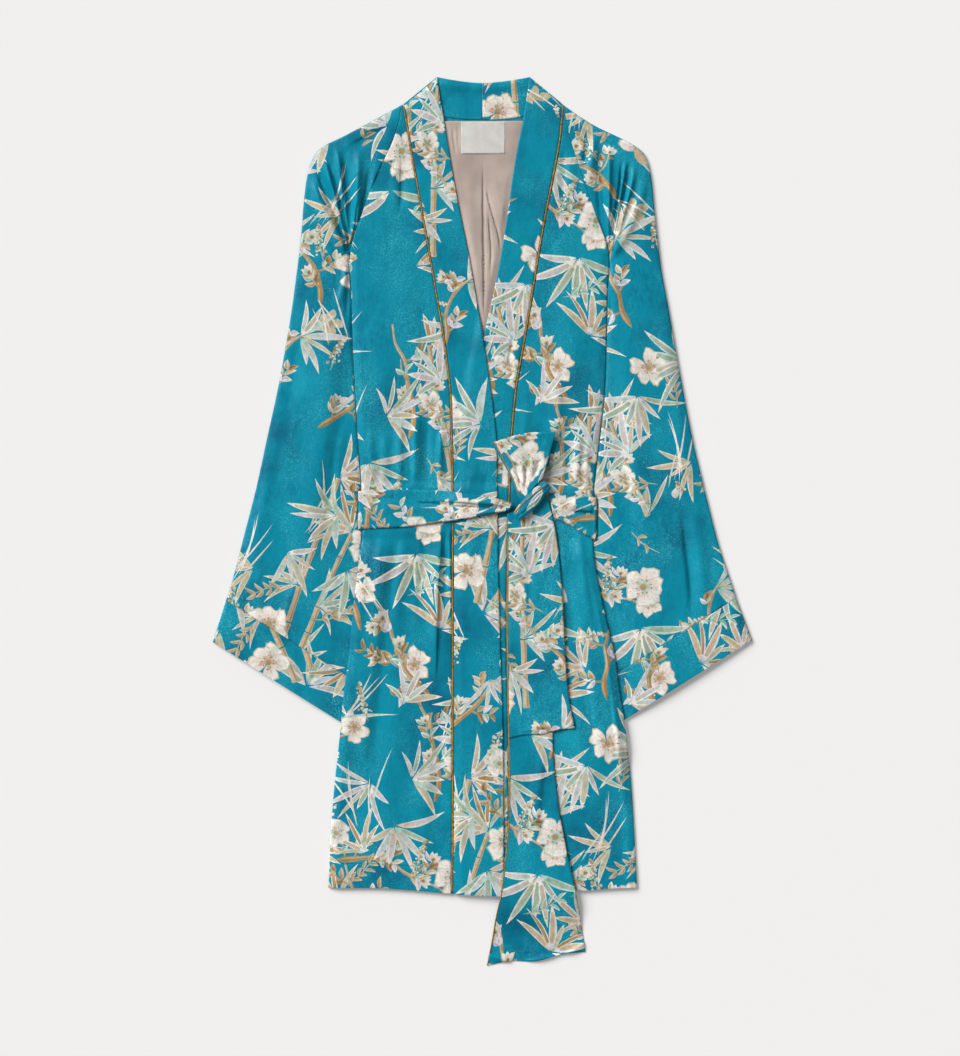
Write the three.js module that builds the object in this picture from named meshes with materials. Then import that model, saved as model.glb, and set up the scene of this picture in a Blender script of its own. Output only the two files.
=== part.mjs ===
// A short wrap robe with raglan sleeves and a tied belt, laid flat on its back.
// Millimetres, +X to the viewer's right, +Y towards the neck, +Z up from the surface it lies on.
import * as THREE from 'three';

// Layers of cloth
const WALL = 1.2;
const BAND_WALL = 1.6;
const LINING_WALL = 1.0;
const BELT_WALL = 1.2;
const SEAM_GAP = 0.3;
const RAGLAN_GAP = 0.8;      // along X, which leaves 0.3 mm or more across the slanted seam

// How the layers lie
const LOFT = 1.6;            // air between the back and the fronts
const SIDE_ROUND = 9;        // the fronts curve down to the back over this much of their side
const PIPING_WIDTH = 1.7;
const PIPING_HEIGHT = 1.9;
const SLEEVE_EDGE = 3.2;     // height of a sleeve at its folded edges
const SLEEVE_LOFT = 2.4;     // extra height in the middle of a sleeve
const TUCK_RISE = 3.7;       // the skirt's sides lie on the sleeves, this far above the surface

// Stations of the body
const HEM_Y = -403;
const UNDERARM_Y = 294;
const SHOULDER_Y = 457;
const NECK_RISE = 31;        // the bands run up this much further at their inner edges
const NECK_DIP = 16;
const HEM_DIP = 9;           // the hem hangs lower in the middle
const HEM_REACH = 60;        // the hem's curve fades out over this height
const TUCK_TOP_Y = -38;      // the skirt lies on the sleeves from here
const TUCK_END_Y = -242;     // to here, where the cuffs end
const TUCK_DEPTH = 27;       // the rise reaches this far in from the side
const WAIST_Y = 12;

// Belt
const BELT_BACK_HALF = 17;
const BELT_CLEARANCE = 0.4;

// Columns: y, then the x of each edge or seam at that height
const BODY = table([
  'y', 'sideLeft', 'sideRight', 'outerLeft', 'innerLeft', 'innerRight', 'outerRight',
], [
  [-403, -169.2, 170.1, -33.3, 23.3, -18.0, 29.9],
  [-340, -166.5, 167.0, -32.8, 23.3, -18.0, 29.7],
  [-285, -162.1, 163.5, -32.6, 23.3, -18.0, 29.4],
  [-235, -156.6, 158.2, -32.6, 22.5, -18.0, 28.9],
  [-188, -152.2, 151.0, -32.6, 21.3, -18.0, 28.1],
  [-147, -146.7, 145.3, -32.6, 19.9, -18.0, 27.5],
  [-92, -141.5, 132.4, -32.6, 18.4, -18.0, 27.1],
  [-43, -135.7, 123.4, -32.5, 17.1, -18.0, 27.9],
  [-11, -131.8, 121.2, -32.4, 16.9, -18.0, 28.5],
  [11, -132.4, 122.8, -32.4, 16.6, -17.6, 28.9],
  [32, -132.9, 121.9, -32.5, 16.3, -17.0, 29.7],
  [56, -134.0, 124.6, -32.6, 16.1, -15.8, 30.4],
  [88, -136.8, 128.2, -33.4, 15.6, -14.6, 31.7],
  [144, -140.1, 134.4, -35.3, 9.5, -9.8, 36.8],
  [199, -142.8, 136.2, -42.0, 1.2, 0.6, 46.1],
  [254, -144.5, 137.4, -51.2, -8.2, 12.8, 55.5],
  [294, -145.6, 138.8, -58.0, -15.1, 20.6, 62.0],
  [340, -131.5, 123.4, -66.4, -24.7, 27.9, 70.0],
  [378, -117.0, 110.2, -72.9, -31.9, 33.1, 77.6],
  [417, -98.8, 97.4, -79.6, -38.4, 39.7, 84.7],
  [440, -91.3, 92.0, -83.6, -42.0, 44.6, 87.2],
  [457, -88.4, 89.6, -87.0, -45.2, 47.2, 88.6],
]);

// Columns: the sleeve's inner edge (y, and how far it goes under the body's side), its outer edge
const SLEEVE_COLUMNS = ['innerY', 'tuck', 'outerX', 'outerY'];
const SLEEVE_LEFT = table(SLEEVE_COLUMNS, [
  [297.3, -0.4, -87.6, 458.2],
  [296.0, -0.4, -107.1, 447.4],
  [294.6, -0.4, -128.0, 436.2],
  [293.0, -0.4, -153.3, 422.7],
  [291.2, -0.4, -173.1, 412.8],
  [288.9, -0.5, -185.2, 400.7],
  [285.8, -0.6, -192.3, 379.8],
  [280.0, -0.7, -196.2, 352.3],
  [266.0, -0.8, -199.5, 310.5],
  [243.0, -0.8, -204.5, 269.8],
  [212.0, -0.8, -211.6, 219.2],
  [170.0, -0.8, -223.7, 151.0],
  [121.0, -0.8, -237.3, 88.3],
  [76.0, -3.0, -249.0, 34.4],
  [32.0, -5.2, -262.0, -16.0],
  [-20.0, -5.0, -270.6, -50.0],
  [-92.0, 10.0, -277.2, -73.0],
  [-182.0, 22.0, -281.7, -86.6],
]);
const SLEEVE_RIGHT = table(SLEEVE_COLUMNS, [
  [293.6, -0.4, 89.2, 457.6],
  [292.2, -0.4, 105.2, 446.2],
  [290.7, -0.4, 125.0, 434.0],
  [289.0, -0.4, 147.0, 423.6],
  [287.0, -0.4, 166.8, 413.2],
  [284.6, -0.5, 178.9, 401.8],
  [281.4, -0.6, 185.5, 378.7],
  [275.5, -0.7, 188.8, 346.8],
  [261.0, -0.8, 192.6, 312.0],
  [238.0, -0.8, 197.1, 275.0],
  [207.0, -0.8, 204.8, 233.5],
  [165.0, -0.8, 217.4, 162.0],
  [116.0, -0.8, 230.1, 94.9],
  [74.0, -3.0, 242.2, 43.2],
  [30.0, -5.2, 257.8, -19.0],
  [-22.0, -5.0, 268.5, -53.0],
  [-94.0, 10.0, 275.4, -73.0],
  [-180.0, 22.0, 278.9, -84.2],
]);
const CUFF_STATION = 17;
const CUFF_GAP = 0.42;        // along Y, which leaves 0.3 mm across the slanted seam
const CUFF_END = {
  left: { innerY: -237, tuck: 24, outerX: -296.3, outerY: -132.6 },
  right: { innerY: -236, tuck: 24, outerX: 296.3, outerY: -130.6 },
};

// Soft folds: troughs (height below 0) and ridges, each along a straight run in plan
const FOLD_COLUMNS = ['x0', 'y0', 'x1', 'y1', 'height', 'width'];
const SLEEVE_FOLDS = {
  left: folds([
    [-183, 391, -150, 306, -2.4, 6.0],
    [-165, 382, -149, 300, -1.5, 4.5],
    [-157, 400, -146, 308, -2.6, 7.0],
    [-121, 376, -137, 318, -1.6, 5.0],
    [-174, 396, -153, 322, 2.0, 7.0],
    [-145, 400, -143, 318, 1.8, 7.0],
    [-228, 110, -262, -60, 1.0, 16.0],
    [-168, 210, -190, 20, 0.9, 18.0],
  ]),
  right: folds([
    [136, 410, 138, 305, -2.4, 7.0],
    [163, 396, 145, 300, -2.4, 4.5],
    [152, 386, 141, 298, -1.6, 4.0],
    [115, 428, 112, 394, -1.4, 6.0],
    [149, 404, 142, 312, 1.9, 6.0],
    [176, 392, 150, 306, 1.4, 9.0],
    [223, -24, 227, -112, -1.8, 9.0],
    [156, -170, 161, -192, -1.0, 5.0],
    [168, 200, 186, 20, 0.9, 18.0],
  ]),
};
const FRONT_FOLDS = folds([
  [-89, 391, -89, 344, -1.0, 6.0],
  [89, 404, 87, 344, -1.0, 6.0],
  [-74, 92, -74, 34, 1.8, 6.0],
  [-47, 70, -46, 34, 1.6, 5.0],
  [-60, 84, -60, 34, -1.0, 6.0],
  [-46, -10, -52, -150, 1.8, 7.0],
  [-40, -12, -39, -60, -0.8, 4.0],
  [112, -66, 146, -230, 1.4, 10.0],
  [-110, 60, -112, 200, 0.9, 18.0],
  [70, 60, 66, 210, 0.9, 20.0],
  [-100, -60, -112, -330, 1.0, 24.0],
  [78, -250, 88, -380, 0.9, 22.0],
]);
const LINING_FOLDS = folds([
  [1, 385, 2, 235, -0.7, 4.0],
  [12, 350, 19, 270, 0.9, 6.0],
  [-14, 372, -6, 290, 0.6, 8.0],
]);

// Belt wraps, along the waist. Columns: x, the upper and lower edge, the height added by folds,
// and how far the lower edge leans along X
const WRAP_COLUMNS = ['x', 'top', 'bottom', 'lift', 'lean'];
const WRAP_LEFT = table(WRAP_COLUMNS, [
  [-134.3, 33.2, -8.6, 0.0, 0],
  [-127.5, 34.6, -8.4, 0.2, 0],
  [-106.0, 34.8, -7.4, 0.7, 0],
  [-80.8, 34.8, -5.7, 1.0, 0],
  [-51.8, 34.2, -2.2, 1.2, 0],
  [-32.8, 32.2, 0.6, 1.4, 0],
  [-8.9, 29.1, 4.2, 1.6, 0],
  [7.6, 26.7, 7.2, 1.9, -1],
  [22.0, 23.4, 9.6, 2.2, -4],
  [35.0, 19.6, 11.6, 2.4, -6],
]);
const WRAP_RIGHT = table(WRAP_COLUMNS, [
  [123.5, 26.1, -20.4, 0.0, 0],
  [117.3, 26.8, -17.0, 0.3, 0],
  [107.4, 28.0, -11.5, 0.8, 0],
  [97.5, 28.9, -5.4, 1.2, 1],
  [85.4, 30.0, -0.6, 1.6, 3],
  [72.8, 31.0, 3.6, 2.0, 5.4],
]);

// Belt tails, from the knot down. Columns: y, left edge, right edge, height of the underside,
// and how much higher the right edge is
const TAIL_COLUMNS = ['y', 'left', 'right', 'base', 'slant'];
const TAIL_LOWER = table(TAIL_COLUMNS, [
  [-4, 36.0, 70.0, 6.0, 0],
  [-43, 34.0, 76.0, 5.9, 0],
  [-97, 33.0, 80.0, 5.8, 0],
  [-170, 31.5, 80.5, 5.8, 0],
  [-241, 29.2, 77.4, 5.8, 0],
  [-307, 29.6, 83.1, 5.8, 0],
  [-352, 27.0, 90.4, 6.6, 1],
  [-385, 23.4, 97.2, 7.4, 3],
  [-412, 20.0, 102.4, 7.4, 6],
  [-424, 17.0, 104.6, 6.6, 8],
  [-440, 13.8, 107.2, 3.6, 10],
  [-462, 10.2, 109.8, 0.6, 12],
  [-488.6, 4.9, 113.6, 0.0, 15],
]);
const TAIL_UPPER = table(TAIL_COLUMNS, [
  [8, 27.0, 71.0, 7.4, 21],
  [-6, 26.8, 77.4, 7.4, 10],
  [-37, 27.6, 84.1, 7.5, 0],
  [-97, 27.4, 88.8, 7.5, 0],
  [-150, 27.4, 91.0, 7.5, 0],
  [-200, 28.0, 95.4, 7.4, 4],
  [-238, 28.9, 101.4, 7.4, 11],
]);
const TAIL_FOLDS = folds([
  [59, -2, 61, -44, -1.0, 5.0],
  [64, -266, 60, -326, 1.6, 5.0],
  [60, -326, 52, -378, 1.0, 7.0],
]);

// Loop of the belt, from the knot up, by its length and the place of its two edges
const LOOP_LENGTH = 56;
const LOOP_FOLD = 1.7;        // radius of the fold at the loop's end
const LOOP = table(['along', 'leftX', 'leftY', 'rightX', 'rightY'], [
  [0, 40.9, 22.2, 66.6, 48.3],
  [18, 31.6, 47.6, 69.6, 59.0],
  [37, 21.6, 67.4, 74.8, 77.0],
  [56, 12.4, 84.4, 80.4, 96.0],
]);
const LOOP_CROWN = 4;         // the loop's end bows upwards in the plane
const LOOP_BASE = 8.1;
const KNOT = { from: [38.5, 6], to: [70.3, 39.6], width: 17, height: 7.6, base: 9.2 };

// Colours
const TEAL = 0x0a879b;
const LINING = 0xb9a59b;
const GOLD = 0x96733a;
const PALE = 0xe9e6df;

const group = new THREE.Group();

// A table read by column name at any value of its first column, along a smooth curve
function table(columns, rows) {
  const keys = rows.map((row) => row[0]);
  const rising = keys[keys.length - 1] > keys[0];
  const slope = (c, i) => {
    const a = Math.max(i - 1, 0);
    const b = Math.min(i + 1, rows.length - 1);
    return (rows[b][c] - rows[a][c]) / (keys[b] - keys[a]);
  };
  const read = (c, key) => {
    let i = 0;
    while (i < rows.length - 2 && (rising ? key > keys[i + 1] : key < keys[i + 1])) {
      i += 1;
    }
    const span = keys[i + 1] - keys[i];
    const t = THREE.MathUtils.clamp((key - keys[i]) / span, 0, 1);
    const t2 = t * t;
    const t3 = t2 * t;
    return (2 * t3 - 3 * t2 + 1) * rows[i][c] + (t3 - 2 * t2 + t) * span * slope(c, i)
      + (3 * t2 - 2 * t3) * rows[i + 1][c] + (t3 - t2) * span * slope(c, i + 1);
  };
  const result = { keys, rows: rows.map((row) => Object.fromEntries(columns.map((n, c) => [n, row[c]]))) };
  columns.slice(1).forEach((name, index) => {
    result[name] = (key) => read(index + 1, key);
  });
  return result;
}

function folds(rows) {
  return rows.map((row) => Object.fromEntries(FOLD_COLUMNS.map((name, c) => [name, row[c]])));
}

const lerp = THREE.MathUtils.lerp;
const smooth = (value, low, high) => THREE.MathUtils.smoothstep(value, low, high);

// Evenly spaced values from one end to the other
function spaced(from, to, steps) {
  return Array.from({ length: steps + 1 }, (_, i) => lerp(from, to, i / steps));
}

// The height that a set of folds adds at a point
function foldHeight(list, x, y) {
  let sum = 0;
  for (const f of list) {
    const dx = f.x1 - f.x0;
    const dy = f.y1 - f.y0;
    const length = Math.hypot(dx, dy);
    const along = ((x - f.x0) * dx + (y - f.y0) * dy) / length / length;
    const aside = ((x - f.x0) * dy - (y - f.y0) * dx) / length;
    const ends = smooth(along, -0.25, 0.2) * (1 - smooth(along, 0.8, 1.25));
    sum += f.height * ends * Math.exp(-((aside / f.width) ** 2));
  }
  return sum;
}

// Six times the volume inside a closed set of triangles, negative where they face inwards
function signedVolume(points, index) {
  let sum = 0;
  for (let i = 0; i < index.length; i += 3) {
    const [a, b, c] = [0, 1, 2].map((k) => new THREE.Vector3(...points[index[i + k]]));
    sum += a.dot(b.cross(c));
  }
  return sum;
}

// A closed mesh from its points and its faces of three or four corners, turned to face outwards
function solid(name, points, faces, color, roughness = 0.55) {
  const geometry = new THREE.BufferGeometry();
  const index = [];
  for (const f of faces) {
    index.push(f[0], f[1], f[2]);
    if (f.length === 4) {
      index.push(f[0], f[2], f[3]);
    }
  }
  if (signedVolume(points, index) < 0) {
    index.reverse();
  }
  geometry.setAttribute('position', new THREE.Float32BufferAttribute(points.flat(), 3));
  geometry.setIndex(index);
  geometry.computeVertexNormals();
  const material = new THREE.MeshStandardMaterial({ color, roughness, metalness: 0 });
  const mesh = new THREE.Mesh(geometry, material);
  mesh.name = name;
  group.add(mesh);
  return mesh;
}

// A wall with a grid of points on each side: over(i, j) above and under(i, j) below it
function wallSolid(name, rows, columns, over, under, color) {
  const points = [];
  const faces = [];
  const top = (i, j) => i * (columns + 1) + j;
  const count = (rows + 1) * (columns + 1);
  const low = (i, j) => count + top(i, j);
  for (const side of [over, under]) {
    for (let i = 0; i <= rows; i += 1) {
      for (let j = 0; j <= columns; j += 1) {
        points.push(side(i, j));
      }
    }
  }
  for (let i = 0; i < rows; i += 1) {
    for (let j = 0; j < columns; j += 1) {
      faces.push([top(i, j), top(i, j + 1), top(i + 1, j + 1), top(i + 1, j)]);
      faces.push([low(i, j), low(i + 1, j), low(i + 1, j + 1), low(i, j + 1)]);
    }
    faces.push([top(i, 0), top(i + 1, 0), low(i + 1, 0), low(i, 0)]);
    faces.push([top(i + 1, columns), top(i, columns), low(i, columns), low(i + 1, columns)]);
  }
  for (let j = 0; j < columns; j += 1) {
    faces.push([top(0, j + 1), top(0, j), low(0, j), low(0, j + 1)]);
    faces.push([top(rows, j), top(rows, j + 1), low(rows, j + 1), low(rows, j)]);
  }
  return solid(name, points, faces, color);
}

// A panel that lies flat: each row runs from a left point to a right point
function panel(name, rows, columns, base, wall, color) {
  const plan = (i, j) => {
    const { left, right } = rows[i];
    const t = j / columns;
    return [lerp(left[0], right[0], t), lerp(left[1], right[1], t)];
  };
  const over = (i, j) => {
    const [x, y] = plan(i, j);
    return [x, y, base(x, y, rows[i]) + wall];
  };
  const under = (i, j) => {
    const [x, y] = plan(i, j);
    return [x, y, base(x, y, rows[i])];
  };
  return wallSolid(name, rows.length - 1, columns, over, under, color);
}

// Heights of the layers, from the surface up

// How far the skirt's side lies over a sleeve at a point, as a share of the whole rise
function tuckShare(x, y) {
  const side = x < 0 ? -BODY.sideLeft(y) : BODY.sideRight(y);
  const under = smooth(Math.abs(x), side - TUCK_DEPTH - 14, side - TUCK_DEPTH);
  return under * smooth(-y, -TUCK_TOP_Y - 30, -TUCK_TOP_Y + 6) * (1 - smooth(-y, -TUCK_END_Y, -TUCK_END_Y + 34));
}

function backBase(x, y) {
  const overBelt = 1 - smooth(Math.abs(y - WAIST_Y), BELT_BACK_HALF + 5, BELT_BACK_HALF + 16);
  return TUCK_RISE * tuckShare(x, y) + (LINING_WALL + SEAM_GAP + 0.1) * overBelt;
}

// Air between the back and the fronts, closing towards the side seams and under the belt
function frontLoft(x, y) {
  const side = x < 0 ? -BODY.sideLeft(y) : BODY.sideRight(y);
  const edge = smooth(side - Math.abs(x), 0, SIDE_ROUND);
  const belted = 1 - 0.7 * (1 - smooth(Math.abs(y - WAIST_Y), 20, 60));
  const aboveSide = y > UNDERARM_Y ? 1 : edge;
  return SEAM_GAP + LOFT * aboveSide * belted;
}

function frontFold(x, y) {
  const side = x < 0 ? -BODY.sideLeft(y) : BODY.sideRight(y);
  const inside = y > UNDERARM_Y ? 1 : smooth(side - Math.abs(x), 4, 20);
  const clearOfBelt = smooth(Math.abs(y - WAIST_Y), 20, 40);
  return foldHeight(FRONT_FOLDS, x, y) * inside * clearOfBelt;
}

function frontBase(x, y) {
  return backBase(x, y) + WALL + frontLoft(x, y) + Math.max(frontFold(x, y), -LOFT * 0.7 + 0.1);
}

// The left band climbs over the right one where they cross
function crossing(x, y) {
  const edge = BODY.innerRight(y);
  return (BAND_WALL + 0.5) * smooth(x, edge - 14, edge - 3);
}

function bandLeftBase(x, y) {
  return frontBase(x, y) + crossing(x, y);
}

function hemY(x, y) {
  const middle = 1 - smooth(Math.abs(x - 20), 0, 150);
  return y - HEM_DIP * middle * (1 - smooth(y, HEM_Y, HEM_Y + HEM_REACH));
}

// Plan points on an edge of the body, with the hem's curve
function edgePoint(x, y, rise = 0) {
  return [x, hemY(x, y) + rise];
}

const SKIRT_ROWS = [...spaced(HEM_Y, -60, 9), ...spaced(-40, 60, 8)];
const BODICE_ROWS = spaced(84, UNDERARM_Y, 6);
const RAGLAN_ROWS = spaced(UNDERARM_Y + 20, SHOULDER_Y, 6);
const BODY_ROWS = [...SKIRT_ROWS, ...BODICE_ROWS, ...RAGLAN_ROWS];

// How far up the shoulder a row is, from 0 at the point of the V to 1 at the shoulder
const shoulderShare = (y) => smooth(y, 200, SHOULDER_Y) ** 1.5;

function backPanel() {
  const rows = BODY_ROWS.map((y) => {
    const neck = smooth(y, UNDERARM_Y, SHOULDER_Y);
    return { left: BODY.sideLeft(y), right: BODY.sideRight(y), neck, y };
  });
  const columns = 12;
  const plan = (i, j) => {
    const { left, right, neck, y } = rows[i];
    const t = j / columns;
    const x = lerp(left, right, t);
    // The neckline dips between the shoulders
    const dip = NECK_DIP * neck * Math.sin(Math.PI * t) ** 0.7;
    return [x, hemY(x, y) - dip];
  };
  const over = (i, j) => [...plan(i, j), backBase(...plan(i, j)) + WALL];
  const under = (i, j) => [...plan(i, j), backBase(...plan(i, j))];
  wallSolid('back_panel', rows.length - 1, columns, over, under, TEAL);
}

const seamAt = (y, side) => (side === 'left' ? BODY.outerLeft(y) : BODY.outerRight(y));

function frontPanel(side) {
  const sign = side === 'left' ? -1 : 1;
  const rows = BODY_ROWS.map((y) => {
    const seam = seamAt(y, side) + sign * (PIPING_WIDTH / 2 + SEAM_GAP);
    const edge = side === 'left' ? BODY.sideLeft(y) : BODY.sideRight(y);
    const safe = sign * Math.max(sign * edge, sign * seam + 0.5);
    const [a, b] = side === 'left' ? [safe, seam] : [seam, safe];
    return { left: edgePoint(a, y), right: edgePoint(b, y) };
  });
  panel(`front_${side}`, rows, 10, frontBase, WALL, TEAL);
}

function band(side) {
  const left = side === 'left';
  const inset = PIPING_WIDTH / 2 + SEAM_GAP;
  const rows = BODY_ROWS.map((y) => {
    const outer = edgePoint(seamAt(y, side) + (left ? inset : -inset), y);
    const rise = NECK_RISE * shoulderShare(y);
    const inner = edgePoint(left ? BODY.innerLeft(y + rise) : BODY.innerRight(y + rise), y, rise);
    return left ? { left: outer, right: inner } : { left: inner, right: outer };
  });
  panel(`band_${side}`, rows, 4, left ? bandLeftBase : frontBase, BAND_WALL, TEAL);
}

// Cord in the seam between a band and its front, four sided with a ridge on top
function piping(side) {
  const half = PIPING_WIDTH / 2;
  const points = [];
  const faces = [];
  const section = [[-half, 0], [half, 0], [half, PIPING_HEIGHT * 0.7], [0, PIPING_HEIGHT], [-half, PIPING_HEIGHT * 0.7]];
  BODY_ROWS.forEach((y) => {
    const [x, yy] = edgePoint(seamAt(y, side), y);
    const base = frontBase(x, yy);
    section.forEach(([dx, dz]) => points.push([x + dx, yy, base + dz]));
  });
  const n = section.length;
  for (let i = 0; i < BODY_ROWS.length - 1; i += 1) {
    for (let k = 0; k < n; k += 1) {
      const next = (k + 1) % n;
      faces.push([i * n + k, i * n + next, (i + 1) * n + next, (i + 1) * n + k]);
    }
  }
  const last = (BODY_ROWS.length - 1) * n;
  for (let k = 1; k < n - 1; k += 1) {
    faces.push([0, k + 1, k]);
    faces.push([last, last + k, last + k + 1]);
  }
  solid(`piping_${side}`, points, faces, GOLD);
}

// The raglan seam between the rows of the body
function raglanX(y, side) {
  const seam = side === 'left' ? BODY.sideLeft : BODY.sideRight;
  const rows = [UNDERARM_Y, ...RAGLAN_ROWS];
  let i = 0;
  while (i < rows.length - 2 && y > rows[i + 1]) {
    i += 1;
  }
  return lerp(seam(rows[i]), seam(rows[i + 1]), (y - rows[i]) / (rows[i + 1] - rows[i]));
}

// A sleeve is a flattened tube: rings fan out from the underarm and then run down to the cuff
function ringPoint(ring, side, t) {
  const sign = side === 'left' ? -1 : 1;
  const x = lerp(ring.inner[0], ring.outer[0], t);
  const y = lerp(ring.inner[1], ring.outer[1], t);
  // The first ring follows the raglan seam and the next ones straighten
  const bend = (raglanX(Math.max(y, UNDERARM_Y), side) + sign * RAGLAN_GAP - x) * ring.seamShare;
  return [x + bend, y];
}

function sleeveRings(side, stations) {
  const source = side === 'left' ? SLEEVE_LEFT : SLEEVE_RIGHT;
  const sign = side === 'left' ? -1 : 1;
  const edge = side === 'left' ? BODY.sideLeft : BODY.sideRight;
  return stations.map((s) => {
    const i = Math.min(Math.floor(s), source.rows.length - 2);
    const a = source.rows[i];
    const b = source.rows[i + 1];
    const f = s - i;
    const innerY = lerp(a.innerY, b.innerY, f);
    const tuck = lerp(a.tuck, b.tuck, f);
    const innerX = edge(Math.min(innerY, UNDERARM_Y)) - sign * tuck;
    return {
      inner: [innerX, innerY],
      outer: [lerp(a.outerX, b.outerX, f), lerp(a.outerY, b.outerY, f)],
      seamShare: 1 - smooth(s, 0, 1.6),
      s,
    };
  });
}

// Points round a ring: over the top from the inner edge to the outer, and back beneath
const RING_TOP = [0.0, 0.03, 0.12, 0.24, 0.36, 0.48, 0.6, 0.72, 0.84, 0.95, 1.0];
const RING_UNDER = [0.95, 0.7, 0.4, 0.12, 0.03];

function tube(name, side, rings, heightAt, color) {
  const points = [];
  const faces = [];
  const n = RING_TOP.length + RING_UNDER.length;
  for (const ring of rings) {
    const width = Math.hypot(ring.outer[0] - ring.inner[0], ring.outer[1] - ring.inner[1]);
    const hollow = (WALL + 0.2) / width;
    for (const inside of [false, true]) {
      const move = (t) => {
        if (!inside) {
          return t;
        }
        return t === 0 ? hollow : (t === 1 ? 1 - hollow : THREE.MathUtils.clamp(t, hollow * 1.6, 1 - hollow * 1.6));
      };
      RING_TOP.forEach((t) => {
        const [x, y] = ringPoint(ring, side, move(t));
        const edge = t === 0 || t === 1;
        const z = edge ? SLEEVE_EDGE / 2 : heightAt(x, y, t, ring) - (inside ? WALL : 0);
        points.push([x, y, z]);
      });
      RING_UNDER.forEach((t) => {
        const [x, y] = ringPoint(ring, side, move(t));
        points.push([x, y, inside ? WALL : 0]);
      });
    }
  }
  const at = (i, inside, k) => (i * 2 + (inside ? 1 : 0)) * n + (k % n);
  for (let i = 0; i < rings.length - 1; i += 1) {
    for (let k = 0; k < n; k += 1) {
      faces.push([at(i, false, k), at(i, false, k + 1), at(i + 1, false, k + 1), at(i + 1, false, k)]);
      faces.push([at(i, true, k), at(i + 1, true, k), at(i + 1, true, k + 1), at(i, true, k + 1)]);
    }
  }
  const last = rings.length - 1;
  for (let k = 0; k < n; k += 1) {
    faces.push([at(0, false, k + 1), at(0, false, k), at(0, true, k), at(0, true, k + 1)]);
    faces.push([at(last, false, k), at(last, false, k + 1), at(last, true, k + 1), at(last, true, k)]);
  }
  solid(name, points, faces, color);
}

function sleeveHeight(side) {
  return (x, y, t, ring) => {
    const pressed = 1 - smooth(ring.s, 14.2, 15.2);
    const hump = SLEEVE_LOFT * Math.sin(Math.PI * t) ** 0.6;
    const rounded = smooth(Math.min(t, 1 - t), 0, 0.1);
    const fold = foldHeight(SLEEVE_FOLDS[side], x, y) * smooth(t, 0.0, 0.25) * rounded;
    const tucked = smooth(t, 0.1, 0.35);
    const lowest = 2 * WALL + 0.35;
    return Math.max(SLEEVE_EDGE - 0.1 + (hump + fold) * lerp(tucked, 1, pressed), lowest);
  };
}

function sleeve(side) {
  const rings = sleeveRings(side, [...spaced(0, 8, 16), ...spaced(9, CUFF_STATION, 8)]);
  tube(`sleeve_${side}`, side, rings, sleeveHeight(side), TEAL);
  return rings[rings.length - 1];
}

function cuff(side, seamRing) {
  const end = CUFF_END[side];
  const sign = side === 'left' ? -1 : 1;
  const edge = side === 'left' ? BODY.sideLeft(end.innerY) : BODY.sideRight(end.innerY);
  const hem = { inner: [edge - sign * end.tuck, end.innerY], outer: [end.outerX, end.outerY] };
  const rings = [0, 0.06, 0.5, 0.94, 1].map((f) => {
    const drop = CUFF_GAP * (1 - f);
    const mix = (a, b) => [lerp(a[0], b[0], f), lerp(a[1], b[1], f) - drop];
    return {
      inner: mix(seamRing.inner, hem.inner),
      outer: mix(seamRing.outer, hem.outer),
      seamShare: 0,
      s: CUFF_STATION,
    };
  });
  tube(`cuff_${side}`, side, rings, sleeveHeight(side), TEAL);
}

// Behind the neck: lining on the back, and the band that stands up round it
const NECK_Y = 441;
const NECK_TOP_Y = 482;

function backLining() {
  const rows = spaced(176, NECK_Y - 1, 10).map((y) => {
    const rise = (y - 176) / (NECK_Y - 176);
    const left = lerp(-24, BODY.innerLeft(y) - 14, smooth(rise, 0, 0.3));
    const right = lerp(28, BODY.innerRight(y) + 14, smooth(rise, 0, 0.3));
    return { left: [left, y], right: [right, y] };
  });
  const base = (x, y) => {
    const shown = smooth(Math.min(x - BODY.innerLeft(y), BODY.innerRight(y) - x), 0, 7);
    return backBase(x, y) + WALL + SEAM_GAP + shown * Math.max(foldHeight(LINING_FOLDS, x, y), 0);
  };
  panel('back_lining', rows, 8, base, LINING_WALL, LINING);
}

function neckBand(side) {
  const sign = side === 'left' ? -1 : 1;
  const outerX = side === 'left' ? BODY.outerLeft(SHOULDER_Y) : BODY.outerRight(SHOULDER_Y);
  const steps = 6;
  const rows = spaced(0, 1, steps).map((t) => {
    const lowX = lerp(sign * 0.2, outerX, t);
    const highX = lerp(sign * 0.2, side === 'left' ? -49.9 : 52.0, t);
    const low = [lowX, lerp(NECK_Y + 0.4, SHOULDER_Y + 1.4, t ** 2.2)];
    const high = [highX, lerp(NECK_TOP_Y, 488.6, t ** 1.6)];
    return side === 'left' ? { left: low, right: high } : { left: high, right: low };
  });
  panel(`neck_band_${side}`, rows, 4, () => 0, BAND_WALL, TEAL);
}

function label() {
  const rows = spaced(404, 439, 2).map((y) => ({ left: [-23.5, y], right: [24.8, y] }));
  const base = (x, y) => backBase(x, y) + WALL + SEAM_GAP + LINING_WALL + SEAM_GAP;
  panel('label', rows, 4, base, 1.0, PALE);
}

// Height of the body's top at the waist, over every layer that the belt crosses
function waistTop(x) {
  const front = frontBase(x, WAIST_Y) + WALL;
  const bands = x > BODY.outerLeft(WAIST_Y) - 3 && x < BODY.outerRight(WAIST_Y) + 3;
  const raised = x > -38 ? smooth(x, -38, -20) * (1 - smooth(x, 31, 46)) * (BAND_WALL + 0.7) : 0;
  return front + (bands ? PIPING_HEIGHT - WALL : 0) + raised;
}

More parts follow.
